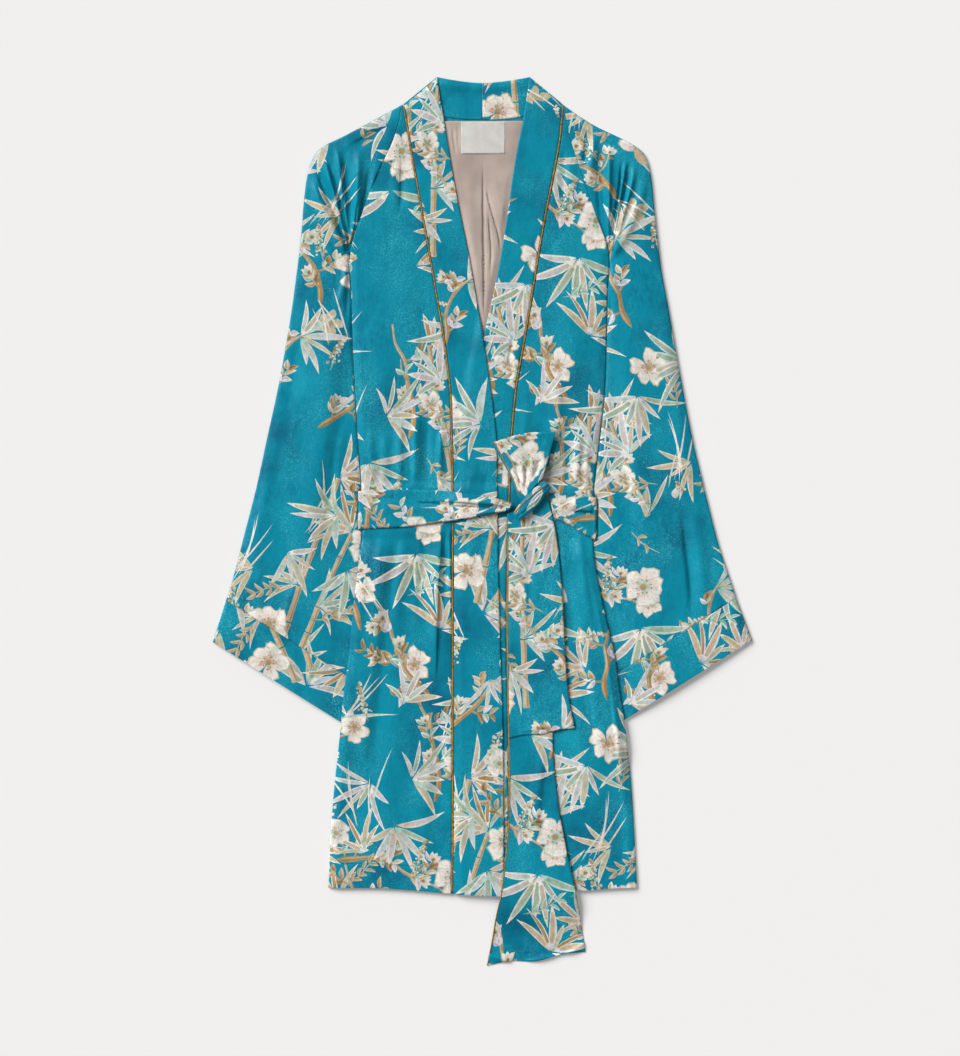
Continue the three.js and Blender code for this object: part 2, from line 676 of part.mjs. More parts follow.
// A wrap lies over the waist, turns round the body's side and ends under it
function beltWrap(side) {
  const sign = side === 'left' ? -1 : 1;
  const wrap = side === 'left' ? WRAP_LEFT : WRAP_RIGHT;
  const from = wrap.keys[wrap.keys.length - 1];
  const to = wrap.keys[0];
  const sideTop = waistTop(to - sign * 6) + 0.35;
  const radius = (sideTop - BELT_WALL) / 2;
  const flat = spaced(from, to, side === 'left' ? 16 : 7);
  const sections = flat.map((x) => {
    const clear = Math.max(...[-3, 0, 3].map((d) => waistTop(x + d))) + BELT_CLEARANCE;
    return {
      x,
      z: Math.max(clear + wrap.lift(x), sideTop),
      nx: 0,
      nz: 1,
      top: wrap.top(x),
      bottom: wrap.bottom(x),
      lean: wrap.lean(x),
    };
  });
  const turns = [30, 60, 90, 120, 150, 180].map((angle) => {
    const a = THREE.MathUtils.degToRad(angle);
    return {
      x: to + sign * radius * Math.sin(a) * 0.8,
      z: (sideTop + BELT_WALL) / 2 + radius * Math.cos(a),
      nx: sign * Math.sin(a),
      nz: Math.cos(a),
      top: wrap.top(to),
      bottom: wrap.bottom(to),
      lean: 0,
    };
  });
  const path = [...sections, ...turns];
  const columns = 5;
  const pleat = (s, t) => Math.min(wrap.lift(s.x) * 0.5, 1.1) * Math.max(0, Math.sin(Math.PI * 3 * t)) * Math.max(s.nz, 0);
  const place = (i, j, off) => {
    const s = path[i];
    const t = j / columns;
    const lift = s.nz === 1 ? pleat(s, t) : 0;
    return [s.x + s.lean * (1 - t) + s.nx * off, lerp(s.bottom, s.top, t), s.z + s.nz * off + lift];
  };
  const over = (i, j) => place(i, side === 'left' ? columns - j : j, BELT_WALL);
  const under = (i, j) => place(i, side === 'left' ? columns - j : j, 0);
  wallSolid(`belt_wrap_${side}`, path.length - 1, columns, over, under, TEAL);
}

function beltBack() {
  const left = WRAP_LEFT.keys[0] + 1.2;
  const right = WRAP_RIGHT.keys[0] - 1.2;
  const rows = spaced(-BELT_BACK_HALF, BELT_BACK_HALF, 2).map((dy) => ({
    left: [left, WAIST_Y + dy], right: [right, WAIST_Y + dy - 4],
  }));
  panel('belt_back', rows, 6, () => 0, LINING_WALL, TEAL);
}

function beltTail(name, tail) {
  const ys = tail.keys.flatMap((y, i) => (i === 0 ? [y] : [(y + tail.keys[i - 1]) / 2, y])).reverse();
  const rows = ys.map((y) => ({ left: [tail.left(y), y], right: [tail.right(y), y + tail.slant(y)], y }));
  const base = (x, y, row) => tail.base(row.y) + foldHeight(TAIL_FOLDS, x, y) * 0.6;
  panel(name, rows, 6, base, BELT_WALL, TEAL);
}

// The loop goes up from the knot, folds over at its end and comes back on itself
function beltLoop() {
  const columns = 6;
  const climb = (along) => LOOP_BASE + 1.8 * (1 - smooth(along, 0, 40)) + 0.8 * smooth(along, 34, 56);
  const flat = spaced(0, LOOP_LENGTH, 6);
  const lower = flat.map((along) => ({ along, out: 0, z: climb(along), nz: -1, ny: 0 }));
  const turn = [45, 90, 135].map((angle) => {
    const a = THREE.MathUtils.degToRad(angle);
    const r = LOOP_FOLD;
    return {
      along: LOOP_LENGTH, out: r * Math.sin(a), z: climb(LOOP_LENGTH) + r * (1 - Math.cos(a)), nz: -Math.cos(a), ny: Math.sin(a),
    };
  });
  const upper = [...flat].reverse().map((along) => ({
    along, out: 0, z: climb(along) + 2 * LOOP_FOLD, nz: 1, ny: 0,
  }));
  const path = [...lower, ...turn, ...upper];
  const place = (i, j, off) => {
    const s = path[i];
    const t = j / columns;
    const x = lerp(LOOP.leftX(s.along), LOOP.rightX(s.along), t);
    const y = lerp(LOOP.leftY(s.along), LOOP.rightY(s.along), t);
    const crown = LOOP_CROWN * Math.sin(Math.PI * t) * smooth(s.along, 20, LOOP_LENGTH);
    return [x, y + crown + s.out + s.ny * off, s.z + s.nz * off + 0.6 * Math.sin(Math.PI * t)];
  };
  const over = (i, j) => place(i, columns - j, BELT_WALL / 2);
  const under = (i, j) => place(i, columns - j, -BELT_WALL / 2);
  wallSolid('belt_loop', path.length - 1, columns, over, under, TEAL);
}

// The knot is one rounded solid, ridged where the cloth is wound over itself
function beltKnot() {
  const [x0, y0] = KNOT.from;
  const [x1, y1] = KNOT.to;
  const length = Math.hypot(x1 - x0, y1 - y0);
  const ux = (x1 - x0) / length;
  const uy = (y1 - y0) / length;
  const around = 14;
  const steps = 8;
  const points = [];
  const faces = [];
  for (let i = 0; i <= steps; i += 1) {
    const t = i / steps;
    const along = (t - 0.5) * length * 1.08;
    const half = (KNOT.width / 2) * (0.62 + 0.38 * Math.sin(Math.PI * t));
    const tall = (KNOT.height / 2) * (0.5 + 0.5 * Math.sin(Math.PI * t));
    for (let k = 0; k < around; k += 1) {
      const a = (k / around) * Math.PI * 2;
      const ridge = 1 + 0.1 * Math.sin(a * 3 + 0.8);
      const side = half * Math.cos(a);
      const up = tall * Math.sin(a) * (Math.sin(a) > 0 ? ridge : 1);
      points.push([
        (x0 + x1) / 2 + ux * along + uy * side,
        (y0 + y1) / 2 + uy * along - ux * side,
        KNOT.base + KNOT.height / 2 + up,
      ]);
    }
  }
  for (let i = 0; i < steps; i += 1) {
    for (let k = 0; k < around; k += 1) {
      const next = (k + 1) % around;
      faces.push([i * around + k, i * around + next, (i + 1) * around + next, (i + 1) * around + k]);
    }
  }
  const last = steps * around;
  for (let k = 1; k < around - 1; k += 1) {
    faces.push([0, k + 1, k]);
    faces.push([last, last + k, last + k + 1]);
  }
  solid('belt_knot', points, faces, TEAL);
}

backPanel();
backLining();
label();
for (const side of ['left', 'right']) {
  frontPanel(side);
  band(side);
  piping(side);
  neckBand(side);
  const seamRing = sleeve(side);
  cuff(side, seamRing);
  beltWrap(side);
}
beltBack();
beltTail('belt_tail_lower', TAIL_LOWER);
beltTail('belt_tail_upper', TAIL_UPPER);
beltLoop();
beltKnot();

// The origin is at the middle of the robe's box, on the surface that it lies on
group.updateMatrixWorld(true);
const box = new THREE.Box3().setFromObject(group);
group.position.set(-(box.min.x + box.max.x) / 2, -(box.min.y + box.max.y) / 2, -box.min.z);

export default group;
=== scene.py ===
"""A short satin wrap robe with a printed pattern and a tied belt, laid flat on a pale surface."""

import math
import random

import bpy
import numpy as np
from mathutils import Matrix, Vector
from mathutils.geometry import delaunay_2d_cdt


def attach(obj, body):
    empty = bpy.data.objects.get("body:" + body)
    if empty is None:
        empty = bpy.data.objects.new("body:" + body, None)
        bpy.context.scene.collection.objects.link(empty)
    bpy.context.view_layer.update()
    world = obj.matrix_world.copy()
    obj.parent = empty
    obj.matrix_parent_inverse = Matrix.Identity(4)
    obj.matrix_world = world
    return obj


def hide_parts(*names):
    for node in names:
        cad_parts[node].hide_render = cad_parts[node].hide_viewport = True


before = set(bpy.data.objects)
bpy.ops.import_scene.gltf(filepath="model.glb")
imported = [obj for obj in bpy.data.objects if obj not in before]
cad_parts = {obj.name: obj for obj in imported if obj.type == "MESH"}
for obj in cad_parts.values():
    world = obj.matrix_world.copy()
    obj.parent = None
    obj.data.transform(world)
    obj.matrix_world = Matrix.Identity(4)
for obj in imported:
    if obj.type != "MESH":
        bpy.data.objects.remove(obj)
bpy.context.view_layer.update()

MM = 0.001

# Layers, in millimetres, as in the solids
WALL = 1.2
BAND_WALL = 1.6
LINING_WALL = 1.0
BELT_WALL = 1.2
SEAM_GAP = 0.3
LOFT = 1.6
SIDE_ROUND = 9
SLEEVE_EDGE = 3.2
SLEEVE_LOFT = 2.4
FOLD_HEIGHT = 1.6            # of the sleeves' folded edges
TUCK_RISE = 3.7
TUCK_DEPTH = 27
TUCK_TOP_Y = -38
TUCK_END_Y = -242
HEM_Y = -403
HEM_DIP = 9
UNDERARM_Y = 294
SHOULDER_Y = 457
NECK_Y = 441
NECK_DIP = 16
WAIST_Y = 12
BELT_BACK_HALF = 17
PIPING_WIDTH = 1.7
CLOTH = 0.7                  # thickness of the thin shells

# The photograph's frame: 960 by 1056 pixels at 1.1 mm, seen from straight above
PIXEL = 1.1
FRAME_WIDTH_PX = 960
VIEW_CENTRE = (-2.6, -7.4)
CAMERA_HEIGHT = 3.4
SENSOR_WIDTH = 36


class Table:
    """Rows with named columns, read at any value of the first column along a smooth curve."""

    def __init__(self, names, rows):
        rows = sorted(rows, key=lambda row: row[0])
        data = np.array(rows, float)
        self.key = data[:, 0]
        self.value = {name: data[:, c + 1] for c, name in enumerate(names)}

    def at(self, name, key):
        values, keys = self.value[name], self.key
        last = len(keys) - 1
        key = np.asarray(key, float)
        i = np.clip(np.searchsorted(keys, key) - 1, 0, last - 1)
        span = keys[i + 1] - keys[i]
        t = np.clip((key - keys[i]) / span, 0, 1)

        def slope(k):
            low, high = np.maximum(k - 1, 0), np.minimum(k + 1, last)
            return (values[high] - values[low]) / (keys[high] - keys[low])

        t2, t3 = t * t, t * t * t
        return (
            (2 * t3 - 3 * t2 + 1) * values[i]
            + (t3 - 2 * t2 + t) * span * slope(i)
            + (3 * t2 - 2 * t3) * values[i + 1]
            + (t3 - t2) * span * slope(i + 1)
        )


BODY = Table(["side_left", "side_right", "outer_left", "inner_left", "inner_right", "outer_right"], [
    [-403, -169.2, 170.1, -33.3, 23.3, -18.0, 29.9],
    [-340, -166.5, 167.0, -32.8, 23.3, -18.0, 29.7],
    [-285, -162.1, 163.5, -32.6, 23.3, -18.0, 29.4],
    [-235, -156.6, 158.2, -32.6, 22.5, -18.0, 28.9],
    [-188, -152.2, 151.0, -32.6, 21.3, -18.0, 28.1],
    [-147, -146.7, 145.3, -32.6, 19.9, -18.0, 27.5],
    [-92, -141.5, 132.4, -32.6, 18.4, -18.0, 27.1],
    [-43, -135.7, 123.4, -32.5, 17.1, -18.0, 27.9],
    [-11, -131.8, 121.2, -32.4, 16.9, -18.0, 28.5],
    [11, -132.4, 122.8, -32.4, 16.6, -17.6, 28.9],
    [32, -132.9, 121.9, -32.5, 16.3, -17.0, 29.7],
    [56, -134.0, 124.6, -32.6, 16.1, -15.8, 30.4],
    [88, -136.8, 128.2, -33.4, 15.6, -14.6, 31.7],
    [144, -140.1, 134.4, -35.3, 9.5, -9.8, 36.8],
    [199, -142.8, 136.2, -42.0, 1.2, 0.6, 46.1],
    [254, -144.5, 137.4, -51.2, -8.2, 12.8, 55.5],
    [294, -145.6, 138.8, -58.0, -15.1, 20.6, 62.0],
    [340, -131.5, 123.4, -66.4, -24.7, 27.9, 70.0],
    [378, -117.0, 110.2, -72.9, -31.9, 33.1, 77.6],
    [417, -98.8, 97.4, -79.6, -38.4, 39.7, 84.7],
    [440, -91.3, 92.0, -83.6, -42.0, 44.6, 87.2],
    [457, -88.4, 89.6, -87.0, -45.2, 47.2, 88.6],
])

# Outer edges of the sleeves, from the shoulder to the cuff's seam
SLEEVE_OUTER = {
    "left": [
        (-87.6, 458.2), (-107.1, 447.4), (-128.0, 436.2), (-153.3, 422.7), (-173.1, 412.8),
        (-185.2, 400.7), (-192.3, 379.8), (-196.2, 352.3), (-199.5, 310.5), (-204.5, 269.8),
        (-211.6, 219.2), (-223.7, 151.0), (-237.3, 88.3), (-249.0, 34.4), (-262.0, -16.0),
        (-270.6, -50.0), (-277.2, -73.0), (-281.7, -86.6),
    ],
    "right": [
        (89.2, 457.6), (105.2, 446.2), (125.0, 434.0), (147.0, 423.6), (166.8, 413.2),
        (178.9, 401.8), (185.5, 378.7), (188.8, 346.8), (192.6, 312.0), (197.1, 275.0),
        (204.8, 233.5), (217.4, 162.0), (230.1, 94.9), (242.2, 43.2), (257.8, -19.0),
        (268.5, -53.0), (275.4, -73.0), (278.9, -84.2),
    ],
}
# How far the sleeve's inner edge goes under the body's side, by y
SLEEVE_TUCK = Table(["tuck"], [
    [-237, 24.0], [-181, 22.0], [-93, 10.0], [-52, 3.0], [-24, -0.6], [31, -0.7], [75, -0.6],
    [120, -0.6], [297, -0.4],
])
BELT_SIDE = {"left": (-8.6, 33.2), "right": (-20.4, 26.1)}
CUFF_SEAM_Y = {"left": -182, "right": -180}
CUFF_HEM = {"left": ((-129.5, -237.0), (-296.3, -132.6)), "right": ((127.9, -236.0), (296.3, -130.6))}
CUFF_GAP = 0.42
SIGN = {"left": -1, "right": 1}


def smooth(value, low, high):
    t = np.clip((np.asarray(value, float) - low) / (high - low), 0, 1)
    return t * t * (3 - 2 * t)


def lerp(a, b, t):
    return a + (b - a) * t


def columns(*values):
    return np.stack(values, 1)


def left_of(along):
    """Unit vectors to the left of the given directions."""
    along = along / np.maximum(np.hypot(*along.T)[:, None], 1e-9)
    return columns(-along[:, 1], along[:, 0])


def plan_order(side, outer, inner):
    """Two runs of a piece, the one further to the viewer's left first."""
    return (outer, inner) if side == "left" else (inner, outer)


def body(name, y):
    return BODY.at(name, y)


def side_distance(x, y):
    """How far inside the body's side a point is."""
    return np.where(x < 0, x - body("side_left", y), body("side_right", y) - x)


def widths(run, first, second):
    """The widths to the left and to the right of the run's own direction."""
    (x0, y0), (x1, y1) = run[0], run[-1]
    return (second, first) if y0 - y1 > abs(x1 - x0) or x0 - x1 > abs(y1 - y0) else (first, second)


def crease_heights(creases, x, y):
    total = np.zeros_like(x)
    for run, height, first, second in creases:
        left, right = widths(run, first, second)
        run = smooth_run(run, 4)
        reach = 3 * max(left, right) + 5
        near = (
            (x > run[:, 0].min() - reach) & (x < run[:, 0].max() + reach)
            & (y > run[:, 1].min() - reach) & (y < run[:, 1].max() + reach)
        )
        if not near.any():
            continue
        distance, share = beside(run, x[near], y[near])
        # A gather stays deep up to the underarm, and other creases fade out sooner
        hold = 0.9 if abs(run[-1, 1] - UNDERARM_Y) < 12 else 0.62
        ends = smooth(share, 0.0, 0.3) * (1 - smooth(share, hold, 1.0))
        width = np.where(distance > 0, left, right)
        total[near] += height * ends * np.exp(-((distance / width) ** 2))
    return total


def smooth_run(points, steps=4):
    """A smooth curve through the points."""
    points = np.array(points, float)
    table = Table(["x", "y"], [[k, *p] for k, p in enumerate(points)])
    keys = np.linspace(0, len(points) - 1, (len(points) - 1) * steps + 1)
    return columns(table.at("x", keys), table.at("y", keys))


CREASE_ROWS = (-1.9, -1.3, -0.8, -0.4, 0, 0.4, 0.8, 1.3, 1.9)


def crease_points(creases, step=2.4):
    """Points beside each crease, close enough together to carry its shape."""
    result = [np.zeros((0, 2))]
    for run, _, first, second in creases:
        left, right = widths(run, first, second)
        line = smooth_run(run, 8)
        lengths = np.concatenate([[0], np.cumsum(np.hypot(*(line[1:] - line[:-1]).T))])
        at = np.arange(0, lengths[-1], step)
        line = columns(*(np.interp(at, lengths, line[:, k]) for k in (0, 1)))
        normal = left_of(np.gradient(line, axis=0))
        for row in CREASE_ROWS:
            result.append(line + normal * row * (left if row > 0 else right))
    return np.concatenate(result)


def beside(run, x, y):
    """Signed distance to a run of points, above 0 on its left, and the share of the way along it."""
    best = np.full(x.shape, 1e9)
    signed = np.zeros_like(x)
    share = np.zeros_like(x)
    lengths = np.hypot(*(run[1:] - run[:-1]).T)
    whole, done = lengths.sum(), 0.0
    for a, b, length in zip(run[:-1], run[1:], lengths):
        direction = (b - a) / length
        px, py = x - a[0], y - a[1]
        along = np.clip(px * direction[0] + py * direction[1], 0, length)
        distance = np.hypot(px - along * direction[0], py - along * direction[1])
        side = np.where(direction[0] * py - direction[1] * px >= 0, 1.0, -1.0)
        closer = distance < best
        best = np.where(closer, distance, best)
        signed = np.where(closer, side * distance, signed)
        share = np.where(closer, (done + along) / whole, share)
        done += length
    return signed, share


def far(run, x, y):
    return np.abs(beside(run, x, y)[0])


def round_down(distance, radius, drop):
    """The height lost near a folded edge, where the cloth curves down through a quarter round."""
    near = 1 - np.clip(distance, 0, radius) / radius
    return drop * (1 - np.sqrt(np.clip(1 - near * near, 0, 1)))


# Each crease: the points of its run, its height (a trough is below 0), its width to the viewer's
# left or above the run, and its width to the right or below the run
SLEEVE_CREASES = {
    "left": [
        ([(-181, 380), (-172, 360), (-164, 342), (-159, 327), (-153, 312), (-147, 298)], -2.6, 1.1, 2.2),
        ([(-160, 398), (-153, 371), (-152.6, 349), (-150, 327), (-147, 300)], -2.4, 1.0, 2.2),
        ([(-137, 352), (-139, 334), (-141, 318), (-145, 301)], -2.4, 1.1, 1.8),
        ([(-98, 437), (-122, 425), (-152, 408)], -2.0, 2.6, 9.0),
        ([(-187, 396), (-170, 356), (-157, 322), (-146, 292)], -3.5, 2.1, 5.3),
        ([(-192, 384), (-178, 350), (-163, 320), (-148, 294)], 4.2, 4.9, 4.5),
        ([(-170, 400), (-158, 352), (-150, 318), (-145, 294)], -3.0, 1.6, 2.8),
        ([(-176, 404), (-163, 360), (-153, 320), (-146, 296)], 4.5, 3.3, 3.0),
        ([(-153, 414), (-150, 372), (-146, 326), (-145, 294)], -4.2, 3.8, 6.1),
        ([(-162, 418), (-154, 372), (-149, 326), (-145.5, 296)], 4.0, 2.8, 2.8),
        ([(-124, 392), (-128, 360), (-137, 326), (-144.5, 295)], -3.2, 2.5, 3.8),
        ([(-136, 414), (-137, 366), (-140, 326), (-145, 297)], 4.2, 4.1, 4.4),
        ([(-112, 416), (-118, 382), (-128, 346)], 1.6, 4.9, 5.7),
        ([(-148, 284), (-152, 262), (-160, 232)], 2.0, 3.3, 4.9),
        ([(-147, 280), (-148, 250), (-150, 214)], -1.5, 2.5, 3.3),
        ([(-214, 170), (-232, 70), (-254, -30), (-264, -78)], 2.4, 14.0, 17.0),
        ([(-160, 240), (-170, 130), (-186, 20), (-204, -90)], 2.2, 17.0, 12.0),
        ([(-150, 200), (-152, 120), (-162, 40), (-176, -70)], -1.9, 10.0, 13.0),
        ([(-196, 250), (-212, 150), (-226, 60), (-240, -40)], -1.8, 13.0, 10.0),
        ([(-147, 120), (-156, 80), (-160, 30), (-172, -20)], 1.8, 4.9, 6.6),
        ([(-205, -60), (-214, -96), (-222, -140)], 1.8, 6.6, 4.9),
        ([(-250, -60), (-258, -100), (-262, -130)], -1.2, 5.7, 6.6),
    ],
    "right": [
        ([(133, 392), (131, 361), (131, 340), (137, 312), (140, 291)], -2.4, 1.2, 2.0),
        ([(141.5, 370), (141, 346), (139.6, 326), (140, 312), (140.6, 290)], -2.4, 1.0, 1.8),
        ([(161, 396), (156, 374), (152.6, 346), (147, 318), (141.6, 290)], -3.0, 1.1, 2.4),
        ([(152.6, 399), (151, 374), (149, 354), (145.6, 332), (141.6, 301)], -2.0, 1.0, 1.6),
        ([(100, 436), (124, 422), (150, 409)], -1.8, 2.6, 9.0),
        ([(132, 424), (130, 372), (134, 330), (138, 292)], -4.5, 5.3, 3.7),
        ([(140, 420), (139, 374), (139, 330), (138.5, 296)], 4.2, 3.3, 3.3),
        ([(163, 400), (156, 366), (146, 326), (139, 288)], -3.8, 1.8, 3.8),
        ([(169, 398), (162, 364), (150, 324), (140, 290)], 4.2, 3.6, 3.3),
        ([(154, 396), (150, 362), (143, 326), (138.5, 290)], -3.2, 1.6, 2.1),
        ([(158, 402), (153, 364), (145, 326), (139, 292)], 3.0, 2.0, 2.0),
        ([(117, 432), (114, 408), (111, 384)], -3.2, 2.8, 4.5),
        ([(123, 434), (121, 406), (118, 376)], 2.2, 4.9, 3.6),
        ([(183, 392), (175, 356), (158, 316), (141, 290)], 3.0, 6.6, 4.9),
        ([(141, 280), (145, 256), (152, 226)], 1.9, 4.9, 3.3),
        ([(139, 276), (140, 246), (142, 210)], -1.5, 3.3, 2.5),
        ([(200, 240), (216, 150), (228, 60), (240, -20)], 2.0, 12.0, 16.0),
        ([(219, 20), (226, -42), (229, -72), (230, -112)], -3.4, 3.6, 9.0),
        ([(231, 26), (238, -40), (243, -80), (244, -112)], 2.6, 8.0, 9.0),
        ([(152, 240), (160, 130), (178, 10), (196, -90)], 2.3, 12.0, 17.0),
        ([(146, 190), (150, 110), (158, 30), (168, -70)], -1.9, 12.0, 9.0),
        ([(150, -160), (158, -174), (164, -196)], -2.2, 2.1, 3.0),
        ([(172, -120), (178, -150), (178, -186)], 2.0, 5.7, 5.7),
        ([(262, -60), (268, -96), (270, -128)], -1.2, 5.7, 5.7),
    ],
}
FRONT_CREASES = [
    ([(-89, 400), (-89, 372), (-90, 336)], -1.8, 1.6, 5.0),
    ([(-95, 404), (-96, 372), (-98, 330)], 1.3, 6.0, 4.0),
    ([(89, 412), (90, 378), (87, 334)], -1.8, 5.0, 1.6),
    ([(96, 408), (97, 376), (96, 330)], 1.2, 4.0, 6.0),
    ([(-72, 134), (-74, 92), (-74, 56), (-75, 26)], 3.2, 3.0, 6.0),
    ([(-45, 108), (-47, 70), (-46, 46), (-45, 26)], 3.0, 3.0, 4.5),
    ([(-60, 124), (-61, 80), (-60, 50), (-59, 26)], -1.6, 5.0, 4.0),
    ([(-91, 120), (-90, 76), (-91, 50), (-92, 26)], 2.0, 5.0, 3.6),
    ([(-108, 104), (-107, 70), (-108, 46), (-109, 26)], 1.5, 4.5, 5.0),
    ([(-124, 112), (-122, 70), (-122, 44), (-122, 26)], 1.3, 4.0, 4.0),
    ([(-118, 250), (-110, 180), (-104, 130), (-100, 90)], 1.6, 15.0, 18.0),
    ([(-84, 300), (-82, 240), (-74, 170), (-70, 120)], 1.2, 14.0, 12.0),
    ([(-46, 10), (-46, -30), (-49, -80), (-52, -190)], 3.6, 9.0, 1.5),
    ([(-41, 4), (-41, -30), (-42, -70), (-44, -120)], -1.5, 1.6, 4.0),
    ([(-36, 4), (-37, -24), (-36, -56), (-35, -92)], 1.6, 2.4, 2.4),
    ([(-62, 2), (-64, -24), (-66, -60), (-72, -120)], -1.3, 4.0, 6.0),
    ([(-84, 0), (-87, -26), (-92, -70), (-97, -140)], 1.9, 7.0, 6.0),
    ([(-108, 0), (-112, -30), (-116, -70), (-122, -130)], 1.3, 5.0, 6.0),
    ([(-84, -120), (-98, -230), (-108, -330), (-112, -410)], 2.2, 17.0, 22.0),
    ([(-132, -180), (-138, -260), (-144, -340), (-146, -410)], -1.4, 12.0, 14.0),
    ([(-60, -240), (-64, -310), (-66, -370), (-66, -414)], 1.6, 12.0, 10.0),
    ([(-46, -200), (-47, -280), (-48, -350)], -1.2, 8.0, 7.0),
    ([(121, -60), (130, -112), (140, -170), (152, -270), (156, -330)], 3.2, 2.2, 8.0),
    ([(127, -80), (137, -134), (144, -190), (150, -240)], -1.5, 5.0, 2.0),
    ([(104, 2), (108, -30), (112, -66), (118, -118)], 1.7, 5.0, 5.0),
    ([(92, 0), (95, -30), (98, -80), (104, -150)], -1.5, 5.0, 7.0),
    ([(84, 0), (86, -40), (89, -110)], 1.4, 4.0, 5.0),
    ([(100, -150), (110, -240), (118, -320), (122, -410)], 2.0, 20.0, 15.0),
    ([(150, -290), (152, -340), (153, -410)], -1.3, 9.0, 8.0),
    ([(108, 108), (105, 70), (104, 48), (103, 26)], 2.2, 4.0, 4.0),
    ([(117, 96), (115, 64), (114, 44), (113, 26)], 1.6, 3.6, 3.6),
    ([(96, 96), (94, 66), (93, 44), (92, 26)], -1.3, 3.6, 4.0),
    ([(84, 170), (82, 110), (80, 64), (80, 26)], 2.2, 8.0, 6.0),
    ([(62, 110), (62, 76), (62, 50), (61, 26)], -1.2, 5.0, 4.0),
    ([(48, 150), (47, 100), (46, 56), (45, 26)], 1.2, 6.0, 6.0),
    ([(106, 270), (100, 200), (94, 130), (92, 90)], 1.5, 18.0, 14.0),
]
BAND_CREASES = [
    ([(34, 206), (31, 186), (27, 168)], -1.6, 2.4, 3.4),
    ([(40, 180), (36, 160), (33, 140)], 0.7, 5.0, 5.0),
    ([(-12, 60), (-13, 44), (-14, 20)], 0.9, 4.0, 5.0),
    ([(2, 58), (3, 44), (4, 20)], -0.8, 4.0, 4.0),
    ([(-10, 10), (-12, -30), (-14, -80)], 0.7, 5.0, 6.0),
    ([(4, -4), (4, -40), (2, -90)], -0.6, 5.0, 6.0),
]
LINING_CREASES = [
    ([(0.4, 400), (0.6, 340), (1.2, 280), (1.6, 200)], -1.9, 0.7, 2.4),
    ([(3, 372), (7, 352), (12, 334), (17, 316), (20, 298)], -1.5, 0.8, 2.2),
    ([(6, 342), (8, 318), (9.4, 298), (8.4, 266)], -1.4, 0.8, 1.8),
    ([(9, 392), (18, 352), (26, 316)], 0.8, 7.0, 5.0),
    ([(-10, 396), (-14, 350), (-8, 290), (-2, 240)], 0.9, 7.0, 6.0),
    ([(-24, 400), (-26, 360), (-20, 310)], -0.8, 6.0, 7.0),
    ([(28, 404), (30, 372), (30, 340)], -0.6, 6.0, 7.0),
    ([(-33, 434), (-32, 420), (-29, 398)], -0.8, 0.9, 2.0),
    ([(-28, 438), (-27, 424), (-27, 408)], -0.5, 0.8, 1.6),
]


def tuck_share(x, y):
    """How much of a sleeve's inner edge lies under the body's side."""
    inside = side_distance(x, y)
    under = 1 - smooth(inside, TUCK_DEPTH, TUCK_DEPTH + 14)
    start = smooth(-y, -TUCK_TOP_Y - 30, -TUCK_TOP_Y + 6)
    return under * start * (1 - smooth(-y, -TUCK_END_Y, -TUCK_END_Y + 34))


def back_base(x, y):
    """The underside of the back, which lies over the sleeves' edges and the belt."""
    over_belt = 1 - smooth(np.abs(y - WAIST_Y), BELT_BACK_HALF + 5, BELT_BACK_HALF + 16)
    return TUCK_RISE * tuck_share(x, y) + (LINING_WALL + SEAM_GAP + 0.1) * over_belt


def front_top(x, y, creases=FRONT_CREASES):
    """The upper face of a front, before its edges are rounded."""
    inside = side_distance(x, y)
    upper = y > UNDERARM_Y
    edge = np.where(upper, 1.0, smooth(inside, 0, SIDE_ROUND))
    belted = 1 - 0.7 * (1 - smooth(np.abs(y - WAIST_Y), 20, 60))
    folds = crease_heights(creases, x, y)
    clear = smooth(np.abs(y - WAIST_Y), 14, 30) * np.where(upper, 1.0, smooth(inside, 1, 14))
    folds = np.maximum(folds, -LOFT * 0.95) * clear
    return back_base(x, y) + WALL + SEAM_GAP + LOFT * edge * belted + folds + WALL


def hem_y(x):
    """The hem, a little lower in the middle."""
    return HEM_Y - HEM_DIP * (1 - smooth(np.abs(x - 20), 0, 150))


def crossing(x, y):
    """How far the left band rises where it lies on the right one."""
    edge = body("inner_right", y)
    return (BAND_WALL + 0.5) * smooth(x, edge - 14, edge - 3)


# Each cloth is an outline in plan or on the flat cloth, cut with the print's shapes and laid in place
class Cloth:
    """The points, triangles and print colours of a node's cloth, gathered from one or more sheets."""

    def __init__(self, node, slot="satin_print"):
        self.node, self.slot = node, slot
        self.points, self.normals, self.faces, self.colours = [], [], [], []
        self.count = 0
        self.area = 0.0

    def add(self, points, normals, triangles, colours=None):
        self.points.append(points)
        self.normals.append(normals)
        self.faces.append(triangles + self.count)
        self.colours.append(np.zeros((triangles.size, 4)) if colours is None else colours)
        self.count += len(points)

    def finish(self):
        """Builds the mesh with its print colours and smooth normals, shows it in its solid's place and
        hides the solid.
        """
        points = np.concatenate(self.points) * MM
        faces = np.concatenate(self.faces)
        mesh = bpy.data.meshes.new(f"{self.node}_cloth")
        mesh.vertices.add(len(points))
        mesh.vertices.foreach_set("co", points.astype(np.float32).ravel())
        mesh.loops.add(faces.size)
        mesh.loops.foreach_set("vertex_index", faces.astype(np.int32).ravel())
        mesh.polygons.add(len(faces))
        mesh.polygons.foreach_set("loop_start", np.arange(0, faces.size, 3, dtype=np.int32))
        mesh.polygons.foreach_set("use_smooth", np.ones(len(faces), bool))
        mesh.update(calc_edges=True)
        colour = mesh.attributes.new("print", "FLOAT_COLOR", "CORNER")
        colour.data.foreach_set("color", np.concatenate(self.colours).astype(np.float32).ravel())
        mesh.normals_split_custom_set_from_vertices(np.concatenate(self.normals).tolist())
        piece = show(mesh, self.slot)
        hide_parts(self.node)


